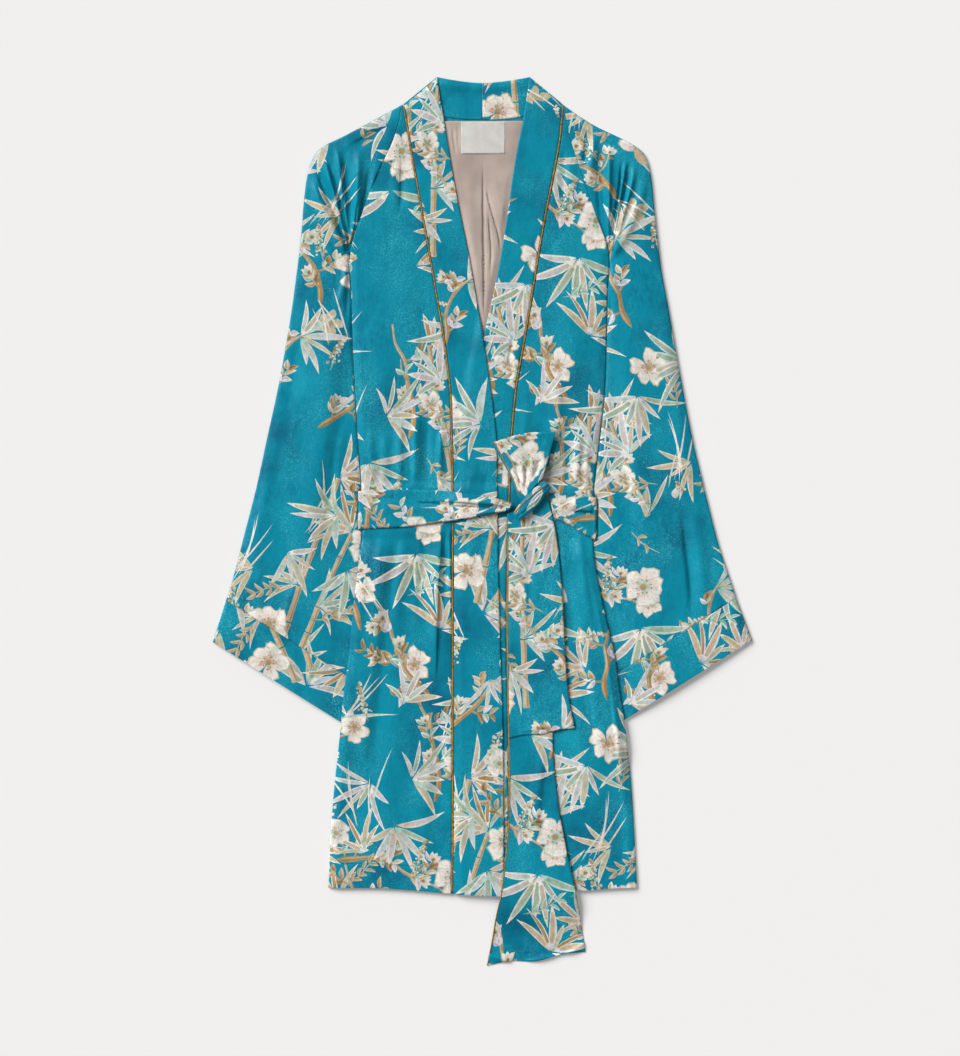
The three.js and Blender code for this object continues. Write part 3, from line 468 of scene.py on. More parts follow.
def show(mesh, slot, material=None):
    """Puts a mesh into the scene as a piece of the robe, which is one body."""
    mesh.materials.append(material or MATERIALS[slot])
    piece = bpy.data.objects.new(mesh.name, mesh)
    bpy.context.collection.objects.link(piece)
    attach(piece, "root")
    return piece


def spread(outline, step):
    """Points of a closed outline, added so that none are further apart than the step."""
    result = []
    for a, b in zip(outline, np.roll(outline, -1, axis=0)):
        pieces = max(1, int(np.ceil(np.hypot(*(b - a)) / step)))
        result.extend(a + (b - a) * k / pieces for k in range(pieces))
    return np.array(result)


EDGE_ROWS = (0.35, 0.9, 1.8, 3.2)


def inside(polygon, points):
    """Tells for each point whether it lies in the polygon."""
    following = np.roll(polygon, -1, axis=0)
    x, y = points[:, :1], points[:, 1:]
    crosses = (polygon[:, 1] > y) != (following[:, 1] > y)
    rise = following[:, 1] - polygon[:, 1]
    share = (y - polygon[:, 1]) / np.where(rise == 0, 1.0, rise)
    return (crosses & (x < polygon[:, 0] + share * (following[:, 0] - polygon[:, 0]))).sum(1) % 2 == 1


def cut(outline, shapes, grid, edge_rows=EDGE_ROWS, edge_step=None, extra=()):
    """The outline in triangles, with the shapes cut in: points, triangles and the top shape of each."""
    outline = spread(anticlockwise(np.array(outline, float)), edge_step or grid)
    low, high = outline.min(0), outline.max(0)
    used = [
        number for number, item in enumerate(shapes)
        if (item["points"].max(0) >= low).all() and (item["points"].min(0) <= high).all()
    ]
    polygons = [outline] + [shapes[number]["points"] for number in used]
    ends = np.cumsum([len(polygon) for polygon in polygons])
    faces = [list(range(end - len(polygon), end)) for polygon, end in zip(polygons, ends)]
    xs = np.arange(low[0] + grid / 2, high[0], grid)
    ys = np.arange(low[1] + grid / 2, high[1], grid)
    inner = np.stack(np.meshgrid(xs, ys), -1).reshape(-1, 2)
    inward = left_of(np.roll(outline, -1, axis=0) - np.roll(outline, 1, axis=0))
    vertices = [*polygons, inner] + [outline + inward * offset for offset in edge_rows]
    if len(extra):
        vertices.append(extra[((extra > low) & (extra < high)).all(1)])
    flat = [Vector(p) for p in np.concatenate(vertices)]
    points, _, triangles, _, _, groups = delaunay_2d_cdt(flat, [], faces, 0, 1e-4, True)
    points, triangles = np.array([tuple(p) for p in points]), np.array(triangles)
    within, owner = owners(points, triangles, groups, polygons)
    used_points, compact = np.unique(triangles[within], return_inverse=True)
    return points[used_points], compact.reshape(-1, 3), np.array([-1, *used])[owner[within]]


def owners(points, triangles, groups, polygons):
    """Tells which triangles lie in the first polygon, and for each the last polygon it lies in."""
    rows = np.repeat(np.arange(len(triangles)), [len(group) for group in groups])
    sources = np.array([number for group in groups for number in group])
    # A shape whose outline crosses itself can claim cloth outside it, so its triangles are tested
    middle = points[triangles].mean(1)[rows]
    boxes = np.array([(polygon.min(0) - 0.01, polygon.max(0) + 0.01) for polygon in polygons])
    astray = ((middle < boxes[sources, 0]) | (middle > boxes[sources, 1])).any(1)
    valid = np.ones(len(rows), bool)
    for number in np.unique(sources[astray]):
        if number > 0:
            mine = np.nonzero(sources == number)[0]
            valid[mine] = inside(polygons[number], middle[mine])
    within = np.zeros(len(triangles), bool)
    within[rows[sources == 0]] = True
    owner = np.zeros(len(triangles), int)
    np.maximum.at(owner, rows[valid], sources[valid])
    return within, owner


def corner_colours(points, triangles, owner, shapes):
    """The print's colour at each triangle's corners. Its last channel is 0 on the bare ground."""
    colours = np.zeros((len(triangles), 3, 4))
    for number in np.unique(owner):
        if number < 0:
            continue
        item = shapes[number]
        rows = np.nonzero(owner == number)[0]
        axis = item["to"] - item["from"]
        t = ((points[triangles[rows]] - item["from"]) @ axis) / max(axis @ axis, 1e-9)
        t = np.clip(t, 0, 1)[..., None]
        colours[rows, :, :3] = item["low"] * (1 - t) + item["high"] * t
        colours[rows, :, 3] = 1.0
    return colours.reshape(-1, 4)


def lay(
    cloth, outline, place, shapes=None, grid=3.5, flip=False, edge_rows=EDGE_ROWS, thickness=CLOTH,
    extra=(), inner_grid=4.2,
):
    """Adds a thin shell to a cloth: its outer face with the print, its inner face and its rim."""
    if shapes is None:
        shapes = print_on(cloth.node, outline)
    points, triangles, owner = cut(outline, shapes, grid, edge_rows, extra=extra)
    outer, normals = place_all(points, place, flip)
    if flip:
        triangles = triangles[:, ::-1]
    cloth.add(outer, normals, triangles, corner_colours(points, triangles, owner, shapes))
    corner = outer[triangles]
    across = np.cross(corner[:, 1] - corner[:, 0], corner[:, 2] - corner[:, 0])
    cloth.area += 0.5 * np.linalg.norm(across, axis=1).sum()
    flat, hidden, _ = cut(outline, (), max(grid, inner_grid), (), grid, extra[::2])
    under, down = place_all(flat, place, flip)
    cloth.add(under - down * thickness, -down, hidden if flip else hidden[:, ::-1])
    a, b = rim(triangles)
    below = outer - normals * thickness
    ring = np.concatenate([outer[a], outer[b], below[a], below[b]])
    sideways = unit(np.cross(outer[b] - outer[a], normals[a]))
    size = len(a)
    k = np.arange(size)
    quads = np.concatenate([
        columns(k + size, k, k + 2 * size), columns(k + size, k + 2 * size, k + 3 * size),
    ])
    cloth.add(ring, np.tile(sideways, (4, 1)), quads)


def unit(vectors):
    return vectors / np.maximum(np.linalg.norm(vectors, axis=1)[:, None], 1e-9)


def rim(triangles):
    """The two ends of each edge that only one triangle has."""
    edges = np.concatenate([triangles[:, [0, 1]], triangles[:, [1, 2]], triangles[:, [2, 0]]])
    _, first, repeats = np.unique(np.sort(edges, 1), axis=0, return_index=True, return_counts=True)
    return edges[first[repeats == 1]].T


def place_all(points, place, flip):
    """The places of points of the flat cloth, and the directions that its face looks in there."""
    u, v = points.T
    step = 0.25
    du = columns(*place(u + step, v)) - columns(*place(u - step, v))
    dv = columns(*place(u, v + step)) - columns(*place(u, v - step))
    return columns(*place(u, v)), unit(np.cross(du, dv) * (-1 if flip else 1))


def thread(name, runs, radius, slot="gold_piping", sides=6, material=None):
    """Round cords or stitches along runs of points, joined as one mesh."""
    verts, faces = [], []
    for run in runs:
        start, last = len(verts), len(run) - 1
        for i, p in enumerate(run):
            tangent = run[min(i + 1, last)] - run[max(i - 1, 0)]
            tangent /= np.linalg.norm(tangent)
            side = np.cross(tangent, (0, 0, 1))
            side /= np.linalg.norm(side)
            up = np.cross(side, tangent)
            thick = radius * (0.55 if i in (0, last) else 1.0)
            for k in range(sides):
                a = 2 * math.pi * k / sides
                verts.append(tuple((p + thick * (math.cos(a) * side + math.sin(a) * up)) * MM))
        for i in range(start, start + last * sides, sides):
            for k in range(sides):
                n = (k + 1) % sides
                faces.append([i + sides + k, i + sides + n, i + n, i + k])
        faces.append([start + k for k in range(sides)])
        faces.append([start + last * sides + k for k in range(sides)][::-1])
    mesh = bpy.data.meshes.new(name)
    mesh.from_pydata(verts, [], faces)
    mesh.polygons.foreach_set("use_smooth", np.ones(len(faces), bool))
    return show(mesh, slot, material)


# Colours
def srgb(r, g, b):
    channel = np.array([r, g, b]) / 255
    return np.where(channel <= 0.04045, channel / 12.92, ((channel + 0.055) / 1.055) ** 2.4)


TEAL = srgb(0, 136, 160)
# The pale teal of the ground's lighter clouds, partly the cloth's own mottle and partly painted sheen
TEAL_PALE = srgb(8, 154, 174)
TEAL_LIGHT = srgb(76, 188, 202)
TEAL_DARK = srgb(0, 102, 130)
WHITE = srgb(246, 243, 236)
CREAM = srgb(238, 232, 222)
BLUSH = srgb(222, 202, 196)
MAUVE = srgb(190, 172, 188)
LILAC = srgb(216, 212, 226)
MINT = srgb(160, 204, 190)
MIST = srgb(178, 200, 190)
GREIGE = srgb(184, 176, 162)
SAGE = srgb(150, 168, 142)
TAN = srgb(192, 168, 134)
SAND = srgb(212, 197, 172)
OCHRE = srgb(167, 130, 76)
BROWN = srgb(122, 92, 60)


# The print: shapes in the fabric's own plane, in millimetres, later ones over earlier ones
def anticlockwise(points):
    x, y = points.T
    twice = (x * np.roll(y, -1) - y * np.roll(x, -1)).sum()
    return points if twice > 0 else points[::-1]


def shape(points, low, high, start, end):
    return {
        "points": anticlockwise(np.array(points, float)), "low": low, "high": high,
        "from": np.array(start, float), "to": np.array(end, float),
    }


def towards(angle):
    return np.array([math.cos(angle), math.sin(angle)])


def turn(points, angle, at):
    c, s = towards(angle)
    x, y = np.array(points, float).T
    return columns(x * c - y * s + at[0], x * s + y * c + at[1])


def blade(at, angle, length, width, edge, inner, bend=0.0, steps=7):
    """A slender pointed leaf: a pale edge round a coloured inside."""
    t = np.linspace(0, 1, steps)
    profile = 3.3 * t ** 0.8 * (1 - t) ** 0.95
    middle = bend * length * t * t
    result = []
    ends = turn([(0, 0), (length, bend * length)], angle, at)
    whole, within = slice(0, steps), slice(1, steps - 1)
    layers = ((1.0, 0.0, whole, within, edge), (0.6, 0.1, within, within, inner))
    for share, aside, upper, lower, tones in layers:
        half, centre = width / 2 * profile * share, middle + aside * width * profile / 2
        above, below = columns(t * length, centre + half), columns(t * length, centre - half)
        points = np.concatenate([above[upper], below[lower][::-1]])
        result.append(shape(turn(points, angle, at), *tones, *ends))
    return result


def oval_leaf(at, angle, length, width, tones, bend=0.1):
    t = np.linspace(0, 1, 6)
    half = width / 2 * np.sin(np.pi * t ** 0.85) ** 0.8
    middle = bend * length * np.sin(np.pi * t)
    upper = columns(t * length, middle + half)
    lower = columns(t * length, middle - half * 0.9)[1:-1][::-1]
    ends = turn([(0, 0), (length, 0)], angle, at)
    (low, high), (shade, light) = tones
    whole = shape(turn(np.concatenate([upper, lower]), angle, at), low, high, *ends)
    side = np.concatenate([upper[1:-1] * (1, 0.8), columns(t * length, middle)[1:-1][::-1]])
    return [whole, shape(turn(side, angle, at), shade, light, *ends)]


EDGES = [(CREAM, CREAM), (LILAC, CREAM), (MINT, CREAM), (SAND, CREAM)]
INSIDES = [(TAN, SAND), (MIST, LILAC), (GREIGE, SAND), (SAGE, MIST), (OCHRE, TAN), (GREIGE, LILAC)]
LEAF_TONES = [
    ((TAN, SAND), (OCHRE, TAN)), ((MINT, CREAM), (SAGE, MINT)), ((LILAC, CREAM), (MAUVE, LILAC)),
    ((OCHRE, TAN), (BROWN, OCHRE)), ((SAND, CREAM), (TAN, SAND)),
]


def tuft(rng, at, angle, count, length, fan):
    """Slender leaves that fan out from one point and droop to both sides."""
    result = []
    cold = rng.random() < 0.6
    for k in range(count):
        share = (k + 0.5) / count - 0.5
        share += rng.uniform(-0.3, 0.3) / count
        tone = INSIDES[rng.choice((1, 2, 3, 5) if cold else (0, 4, 0, 2))]
        aim, reach = angle + share * fan, length * (1 - 0.8 * share * share) * rng.uniform(0.62, 1.2)
        foot = at + rng.uniform(1.0, 4.0) * towards(aim)
        width = min(length * rng.uniform(0.10, 0.18), reach * 0.26)
        edge = EDGES[rng.randrange(4)]
        result += blade(foot, aim, reach, width, edge, tone, share * 0.8 + rng.uniform(-0.1, 0.1))
    return result


def disc(at, radius, low, high, sides=6, spin=0.3):
    a = np.linspace(0, 2 * np.pi, sides, endpoint=False) + spin
    points = columns(at[0] + radius * np.cos(a), at[1] + radius * np.sin(a))
    return shape(points, low, high, np.subtract(at, radius), np.add(at, radius))


def blossom(rng, at, radius, angle, petals=5):
    """An open flower with waved petals, each with a drawn edge, a shaded foot and fine lines."""
    result = []
    a = np.linspace(-0.97, 0.97, 13) * np.pi
    shadow = rng.choice(((SAGE, MINT), (TAN, SAND), (MINT, BLUSH)))
    petal_tone = (TAN, SAND) if radius < 17 and rng.random() < 0.5 else (BLUSH, WHITE)
    for k in range(petals):
        aim = angle + 2 * math.pi * k / petals + rng.uniform(-0.22, 0.22)
        reach, wide = radius * rng.uniform(0.78, 1.12), radius * rng.uniform(0.36, 0.48)
        wave = 1 + 0.09 * np.sin(a * 3 + rng.uniform(0, 6)) + 0.04 * np.sin(a * 7 + rng.uniform(0, 6))
        petal = columns(
            reach * (0.55 + 0.45 * np.cos(a)) * wave, wide * np.sin(a) * (0.86 + 0.3 * np.cos(a)) * wave,
        )
        ends = turn([(0, 0), (reach, 0)], aim, at)
        result.append(shape(turn(petal * (1.04, 1.08), aim, at), *shadow, *ends))
        result.append(shape(turn(petal * 0.97, aim, at), *petal_tone, *ends))
        result.append(shape(turn(petal * (0.42, 0.3), aim, at), shadow[0], BLUSH, *ends))
        for fork in (-0.2, 0.16):
            line = turn([(reach * 0.3, -0.35), (reach * 0.78, 0), (reach * 0.3, 0.35)], aim + fork, at)
            result.append(shape(line, TAN, SAND, *ends))
    result.append(disc(at, radius * 0.15, OCHRE, TAN, 7))
    for k in range(9):
        aim = angle + 2 * math.pi * (k + rng.uniform(-0.2, 0.2)) / 9
        grain = at + radius * rng.uniform(0.24, 0.38) * towards(aim)
        result.append(disc(grain, radius * 0.035, BROWN, OCHRE, 5))
    return result


def bud(at, angle, size):
    """A closed flower on its stalk."""
    result = []
    for fork in (-0.5, 0.5, 0.0):
        result += oval_leaf(at, angle + fork, size, size * 0.55, ((BLUSH, CREAM), (MINT, CREAM)), 0.0)
    for fork, tones in ((0.25, LEAF_TONES[0]), (-0.25, LEAF_TONES[3])):
        result += oval_leaf(at, angle + fork, size * 0.45, size * 0.3, tones)
    return result


def limb(points, width, low, high):
    """A bough along a run of points, thinner towards its end, with a paler upper side."""
    run = smooth_run(points, 3)
    normal = left_of(np.gradient(run, axis=0))
    k = np.linspace(0, 1, len(run))
    foot = 0.25 + 0.75 * np.clip(k / 0.12, 0, 1) ** 0.5
    half = (width / 2 * foot * (1 - 0.65 * k) * (1 + 0.14 * np.sin(k * 19)))[:, None]
    whole = np.concatenate([run + normal * half, (run - normal * half)[::-1]])
    pale = np.concatenate([run + normal * half * 0.7, (run + normal * half * 0.1)[::-1]])
    return [shape(whole, low, high, run[0], run[-1]), shape(pale, high, SAND, run[0], run[-1])]


BRANCH_WIDTH = 6.5
BRANCH_STEPS = 6


def branch(rng, at, angle, length):
    """A crooked bough with forks, leaves in turn on both sides, buds, and a flower at its end."""
    points, heading = [at], angle
    for k in range(BRANCH_STEPS):
        heading += rng.uniform(-0.42, 0.42)
        points.append(points[-1] + length / BRANCH_STEPS * towards(heading))
    result, late = [], []
    for k in range(1, BRANCH_STEPS + 1):
        side = 1 if k % 2 else -1
        fork = heading if k == BRANCH_STEPS else angle + side * rng.uniform(0.6, 1.0)
        reach = length * rng.uniform(0.14, 0.24)
        out = towards(fork)
        tip = points[k] + reach * out
        half_way = (points[k] + tip) / 2 + np.array([-out[1], out[0]]) * reach * 0.1 * side
        result += limb([points[k], half_way, tip], BRANCH_WIDTH * 0.42, OCHRE, TAN)
        for m in range(3):
            foot = points[k] + (tip - points[k]) * (0.35 + 0.32 * m)
            for leaf_side in (1, -1):
                aim = fork + leaf_side * rng.uniform(0.5, 1.1)
                size = rng.uniform(9, 16), rng.uniform(4.5, 7.5)
                late += oval_leaf(foot, aim, *size, LEAF_TONES[rng.randrange(5)])
        if k == BRANCH_STEPS:
            late += blossom(rng, tip, rng.uniform(14, 20), rng.uniform(0, 6))
        elif rng.random() < 0.6:
            late += bud(tip, fork, rng.uniform(9, 13))
    return limb(points, BRANCH_WIDTH, OCHRE, TAN) + result + late


CANE_WIDTH = 7.5
CANE_JOINTS = 5
# The darker side of each length of the stem, in shares of its length and width
CANE_SHADE = [(0.03, -0.34), (0.93, -0.3), (0.93, -0.08), (0.5, -0.16), (0.03, -0.1)]


def cane(rng, at, angle, length):
    """A jointed stem in straight lengths, with a tuft of leaves at some joints."""
    result, tufts = [], []
    step = length / CANE_JOINTS
    for k in range(CANE_JOINTS):
        angle += rng.uniform(-0.05, 0.05)
        w = CANE_WIDTH * (1 - 0.3 * k / CANE_JOINTS)
        t = np.array([0, 0.04, 0.14, 0.5, 0.86, 0.96]) * step
        half = w / 2 * np.array([0.8, 1.05, 0.9, 0.82, 0.9, 1.05])
        across = turn([(step / 2, -w / 2), (step / 2, w / 2)], angle, at)
        whole = np.concatenate([columns(t, half), columns(t, -half)[::-1]])
        dark = np.array(CANE_SHADE) * (step, w)
        result.append(shape(turn(whole, angle, at), TAN, SAND, *across))
        result.append(shape(turn(dark, angle, at), OCHRE, TAN, *across))
        at = at + step * towards(angle)
        if k in (1, CANE_JOINTS - 1):
            tufts += tuft(rng, at, angle + rng.choice((-1.1, 1.0)), 6, rng.uniform(38, 50), 2.2)
    return result + tufts


SPIKE_GRAINS = 40


def spike(rng, at, angle, length):
    """Many small grains crowded along a stalk, wider at the foot."""
    stalk = turn([(length / 2, length * 0.05), (length, 0)], angle, at)
    result = limb([at, *stalk], 1.8, SAGE, MINT)
    tones = [(TAN, SAND), (SAND, CREAM), (MINT, CREAM), (OCHRE, TAN)]
    for k in range(SPIKE_GRAINS):
        t = (k + 0.5) / SPIKE_GRAINS
        aside = rng.uniform(-1, 1) * (length * 0.17 * (1 - 0.75 * t))
        along = length * (0.18 + 0.82 * t) + rng.uniform(-2, 2)
        centre = turn([(along, length * 0.05 * math.sin(math.pi * t) + aside)], angle, at)[0]
        result.append(disc(centre, rng.uniform(1.1, 2.1), *tones[rng.randrange(4)], 5, rng.uniform(0, 1)))
    return result


SPRIG_PAIRS = 4


def sprig(rng, at, angle, length):
    """A thin stem with leaves in pairs."""
    tones = LEAF_TONES[rng.randrange(5)]
    stem = turn([(length / 2, -length * 0.02), (length, length * 0.12)], angle, at)
    result = limb([at, *stem], 1.6, SAGE, SAND)
    for k in range(SPRIG_PAIRS):
        t = (k + 1) / SPRIG_PAIRS
        foot = turn([(length * t, length * 0.12 * t * t)], angle, at)[0]
        for side in (1, -1):
            aim = angle + side * rng.uniform(0.45, 0.8)
            result += oval_leaf(foot, aim, rng.uniform(10, 15), rng.uniform(3.6, 5.4), tones)
    return result


def strokes(rng, at, angle, length):
    """Long fine pale lines, like stems without leaves."""
    result = []
    for k in range(5):
        start = at + np.array([rng.uniform(-12, 12), rng.uniform(-8, 8)])
        aim, reach = angle + rng.uniform(-0.35, 0.35), length * rng.uniform(0.5, 1.15)
        result.append(blade(start, aim, reach, 2.0, EDGES[k % 4], EDGES[0], rng.uniform(-0.25, 0.25))[0])
    return result


# One repeat of the print. Columns: kind, x, y, angle in degrees, size
REPEAT = (310, 400)
DESIGN = [
    ("strokes", 40, 120, 80, 90),
    ("strokes", 214, 300, 60, 80),
    ("strokes", 150, 40, 110, 70),
    ("cane", 36, -20, 82, 210),
    ("cane", 58, -14, 77, 150),
    ("cane", 246, 150, 99, 190),
    ("branch", 128, 30, 84, 150),
    ("branch", 276, 30, 118, 120),
    ("branch", 196, 236, 62, 130),
    ("branch", 20, 236, 48, 110),
    ("branch", 84, 180, 20, 120),
    ("branch", 200, 352, 150, 120),
    ("branch", 300, 168, 96, 110),
    ("strokes", 90, 330, 30, 70),
    ("tuft", 44, 370, 40, 50),
    ("tuft", 236, 296, 120, 46),
    ("tuft", 128, 262, 220, 42),
    ("warm", 170, 346, 60, 44),
    ("warm", 20, 96, 320, 42),
    ("warm", 250, 60, 150, 38),
    ("spike", 130, 330, 100, 44),
    ("spike", 18, 300, 80, 40),
    ("sprig", 214, 214, 300, 38),
    ("sprig", 66, 30, 20, 38),
    ("tuft", 88, 92, 300, 46),
    ("tuft", 196, 110, 262, 50),
    ("tuft", 286, 128, 15, 44),
    ("tuft", 14, 176, 170, 50),
    ("tuft", 150, 214, 285, 46),
    ("tuft", 262, 356, 250, 48),
    ("tuft", 96, 366, 215, 44),
    ("tuft", 216, 24, 60, 44),
    ("warm", 116, 186, 118, 42),
    ("warm", 224, 190, 330, 40),
    ("warm", 60, 300, 300, 40),
    ("warm", 300, 270, 200, 42),
    ("spike", 168, 150, 70, 46),
    ("spike", 292, 214, 110, 42),
    ("spike", 84, 250, 250, 40),
    ("spike", 232, 88, 20, 38),
    ("sprig", 182, 64, 20, 40),
    ("sprig", 30, 60, 200, 36),
    ("sprig", 256, 256, 160, 40),
    ("sprig", 92, 152, 30, 34),
    ("sprig", 166, 386, 140, 40),
    ("sprig", 300, 330, 80, 36),
    ("strokes", 276, 250, 70, 80),
    ("strokes", 20, 330, 120, 70),
    ("strokes", 120, 220, 95, 80),
    ("tuft", 172, 262, 20, 46),
    ("tuft", 66, 148, 200, 44),
    ("blossom", 104, 126, 20, 22),
    ("blossom", 210, 152, 50, 25),
    ("blossom", 20, 14, 30, 23),
    ("blossom", 282, 382, 5, 21),
]


MOTIFS = {
    "branch": branch, "cane": cane, "spike": spike, "sprig": sprig, "strokes": strokes,
    "tuft": lambda rng, at, angle, size: tuft(rng, at, angle, 7, size * 1.15, 2.6),
    "warm": lambda rng, at, angle, size: tuft(rng, at, angle, 5, size * 1.1, 1.9),
    "blossom": lambda rng, at, angle, size: blossom(rng, at, size, angle),
}


PRINT_SEED = 23
OVERHANG = 60                # margin for motifs that reach past their repeat


def design_shapes():
    rng = random.Random(PRINT_SEED)
    result = []
    for kind, x, y, degrees, size in DESIGN:
        result += MOTIFS[kind](rng, np.array([x, y], float), math.radians(degrees), size)
    return result


PRINT = design_shapes()
SIZES = [len(item["points"]) for item in PRINT]
STARTS = np.concatenate([[0], np.cumsum(SIZES)])
ALL_POINTS = np.concatenate([item["points"] for item in PRINT])
ALL_ENDS = np.array([(item["from"], item["to"]) for item in PRINT])


def printed(low, high, shift, degrees):
    """The print's shapes over a box of the flat cloth, from the place where the piece was cut."""
    angle = math.radians(degrees)
    corners = np.array([(x, y) for x in (low[0], high[0]) for y in (low[1], high[1])])
    back = turn(corners, -angle, (0, 0)) - shift
    first = np.floor((back.min(0) - OVERHANG) / REPEAT).astype(int)
    last = np.ceil((back.max(0) + OVERHANG) / REPEAT).astype(int)
    result = []
    for column in range(first[0], last[0] + 1):
        for row in range(first[1] - 1, last[1] + 1):
            offset = np.array([column * REPEAT[0], (row + 0.5 * (column % 2)) * REPEAT[1]]) + shift
            points = turn(ALL_POINTS + offset, angle, (0, 0))
            ends = turn((ALL_ENDS + offset).reshape(-1, 2), angle, (0, 0)).reshape(-1, 2, 2)
            lows = np.minimum.reduceat(points, STARTS[:-1])
            highs = np.maximum.reduceat(points, STARTS[:-1])
            for k in np.nonzero(((highs > low) & (lows < high)).all(1))[0]:
                moved = {"points": points[STARTS[k]:STARTS[k + 1]], "from": ends[k, 0], "to": ends[k, 1]}
                result.append({**PRINT[k], **moved})
    return result


# Where each piece was cut from the printed cloth: its shift, its turn in degrees, and the ovals that
# are left without motifs, each with its centre and half sizes
CUTS = {
    "back_panel": ((20, -100), 0),
    "front_left": ((40, 60), 4, (-100, 262, 44, 96)),
    "front_right": ((-120, 190), -6, (112, -60, 30, 60)),
    "band_left": ((-30, -70), -8),
    "band_right": ((150, 90), 12, (60, 400, 30, 66)),
    "neck_band_right": ((60, 30), 8),
    "sleeve_left": ((90, 20), -14, (-222, 70, 46, 84), (-150, 400, 22, 34)),
    "sleeve_right": ((-60, 130), 16, (226, -26, 44, 60), (160, 380, 24, 30)),
    "cuff_left": ((10, 160), 28),
    "cuff_right": ((70, -40), -30),
    "belt_wrap_left": ((-124, -54), 84),
    "belt_wrap_right": ((200, 40), 84),
    "belt_back": ((80, 300), 90),
    "belt_tail_lower": ((210, 110), -5),
    "belt_tail_upper": ((130, 250), -5),
    "belt_loop": ((-124, -189), 40),
}
FINE_SHAPE_POINTS = 9


def print_on(node, outline, aside=None):
    """The print over a piece. A hidden side is cut further aside, and leaves out the fine shapes."""
    if node not in CUTS:
        return ()
    shift, degrees, *plain = CUTS[node]
    low, high = np.min(outline, axis=0), np.max(outline, axis=0)
    if aside is not None:
        shapes = printed(low, high, np.add(shift, aside), degrees)
        return [item for item in shapes if len(item["points"]) > FINE_SHAPE_POINTS]
    shapes = printed(low, high, shift, degrees)
    for x, y, half_x, half_y in plain:
        shapes = [
            item for item in shapes
            if ((item["points"].mean(0) - (x, y)) ** 2 / (half_x ** 2, half_y ** 2)).sum() > 1
        ]
    return shapes


# Materials
class Look:
    """The nodes of a material, joined by short calls."""

    def __init__(self, name, roughness, sheen=0.0, specular=0.14):
        self.material = bpy.data.materials.new(name)
        self.material.use_nodes = True
        self.tree = self.material.node_tree
        self.shader = self.tree.nodes["Principled BSDF"]
        self.set(self.shader, **{
            "Roughness": roughness, "Specular IOR Level": specular, "Sheen Weight": sheen,
            "Sheen Roughness": 0.4,
        })

    def set(self, node, **values):
        """Gives each named or numbered socket its value, its colour or a link."""
        for name, value in values.items():
            socket = node.inputs[int(name[1:]) if name[1:].isdigit() else name]
            if isinstance(value, bpy.types.NodeSocket):
                self.tree.links.new(value, socket)
            else:
                socket.default_value = (*value, 1) if socket.type == "RGBA" else value
        return node

    def add(self, kind, **values):
        return self.set(self.tree.nodes.new("ShaderNode" + kind), **values)

    def place(self):
        return self.add("TexCoord").outputs["Object"]

    def noise(self, scale, detail=3.0, roughness=0.55, stretch=(1, 1, 1)):
        vector = self.add("Mapping", Vector=self.place(), Scale=stretch).outputs["Vector"]
        node = self.add("TexNoise", Vector=vector, Scale=scale, Detail=detail, Roughness=roughness)
        return node.outputs["Fac"]

    def ramp(self, value, *stops):
        """A ramp of colours or greys over a value."""
        node = self.add("ValToRGB", Fac=value)
        elements = node.color_ramp.elements
        while len(elements) < len(stops):
            elements.new(0.5)
        for element, (position, colour) in zip(elements, stops):
            element.position = position
            element.color = (*(np.ones(3) * colour), 1)
        return node.outputs["Color"]

    def mix(self, kind, factor, a, b):
        node = self.add("Mix")
        node.data_type = "RGBA"
        node.blend_type = kind
        return self.set(node, _0=factor, _6=a, _7=b).outputs[2]

    def sum(self, kind, a, b, c=0.0):
        node = self.add("Math", _0=a, _1=b, _2=c)
        node.operation = kind
        return node.outputs[0]

    def colour(self, value):
        self.set(self.shader, **{"Base Color": value})

    def bump(self, height, strength, distance):
        node = self.add("Bump", Height=height, Strength=strength, Distance=distance)
        self.set(self.shader, Normal=node.outputs["Normal"])


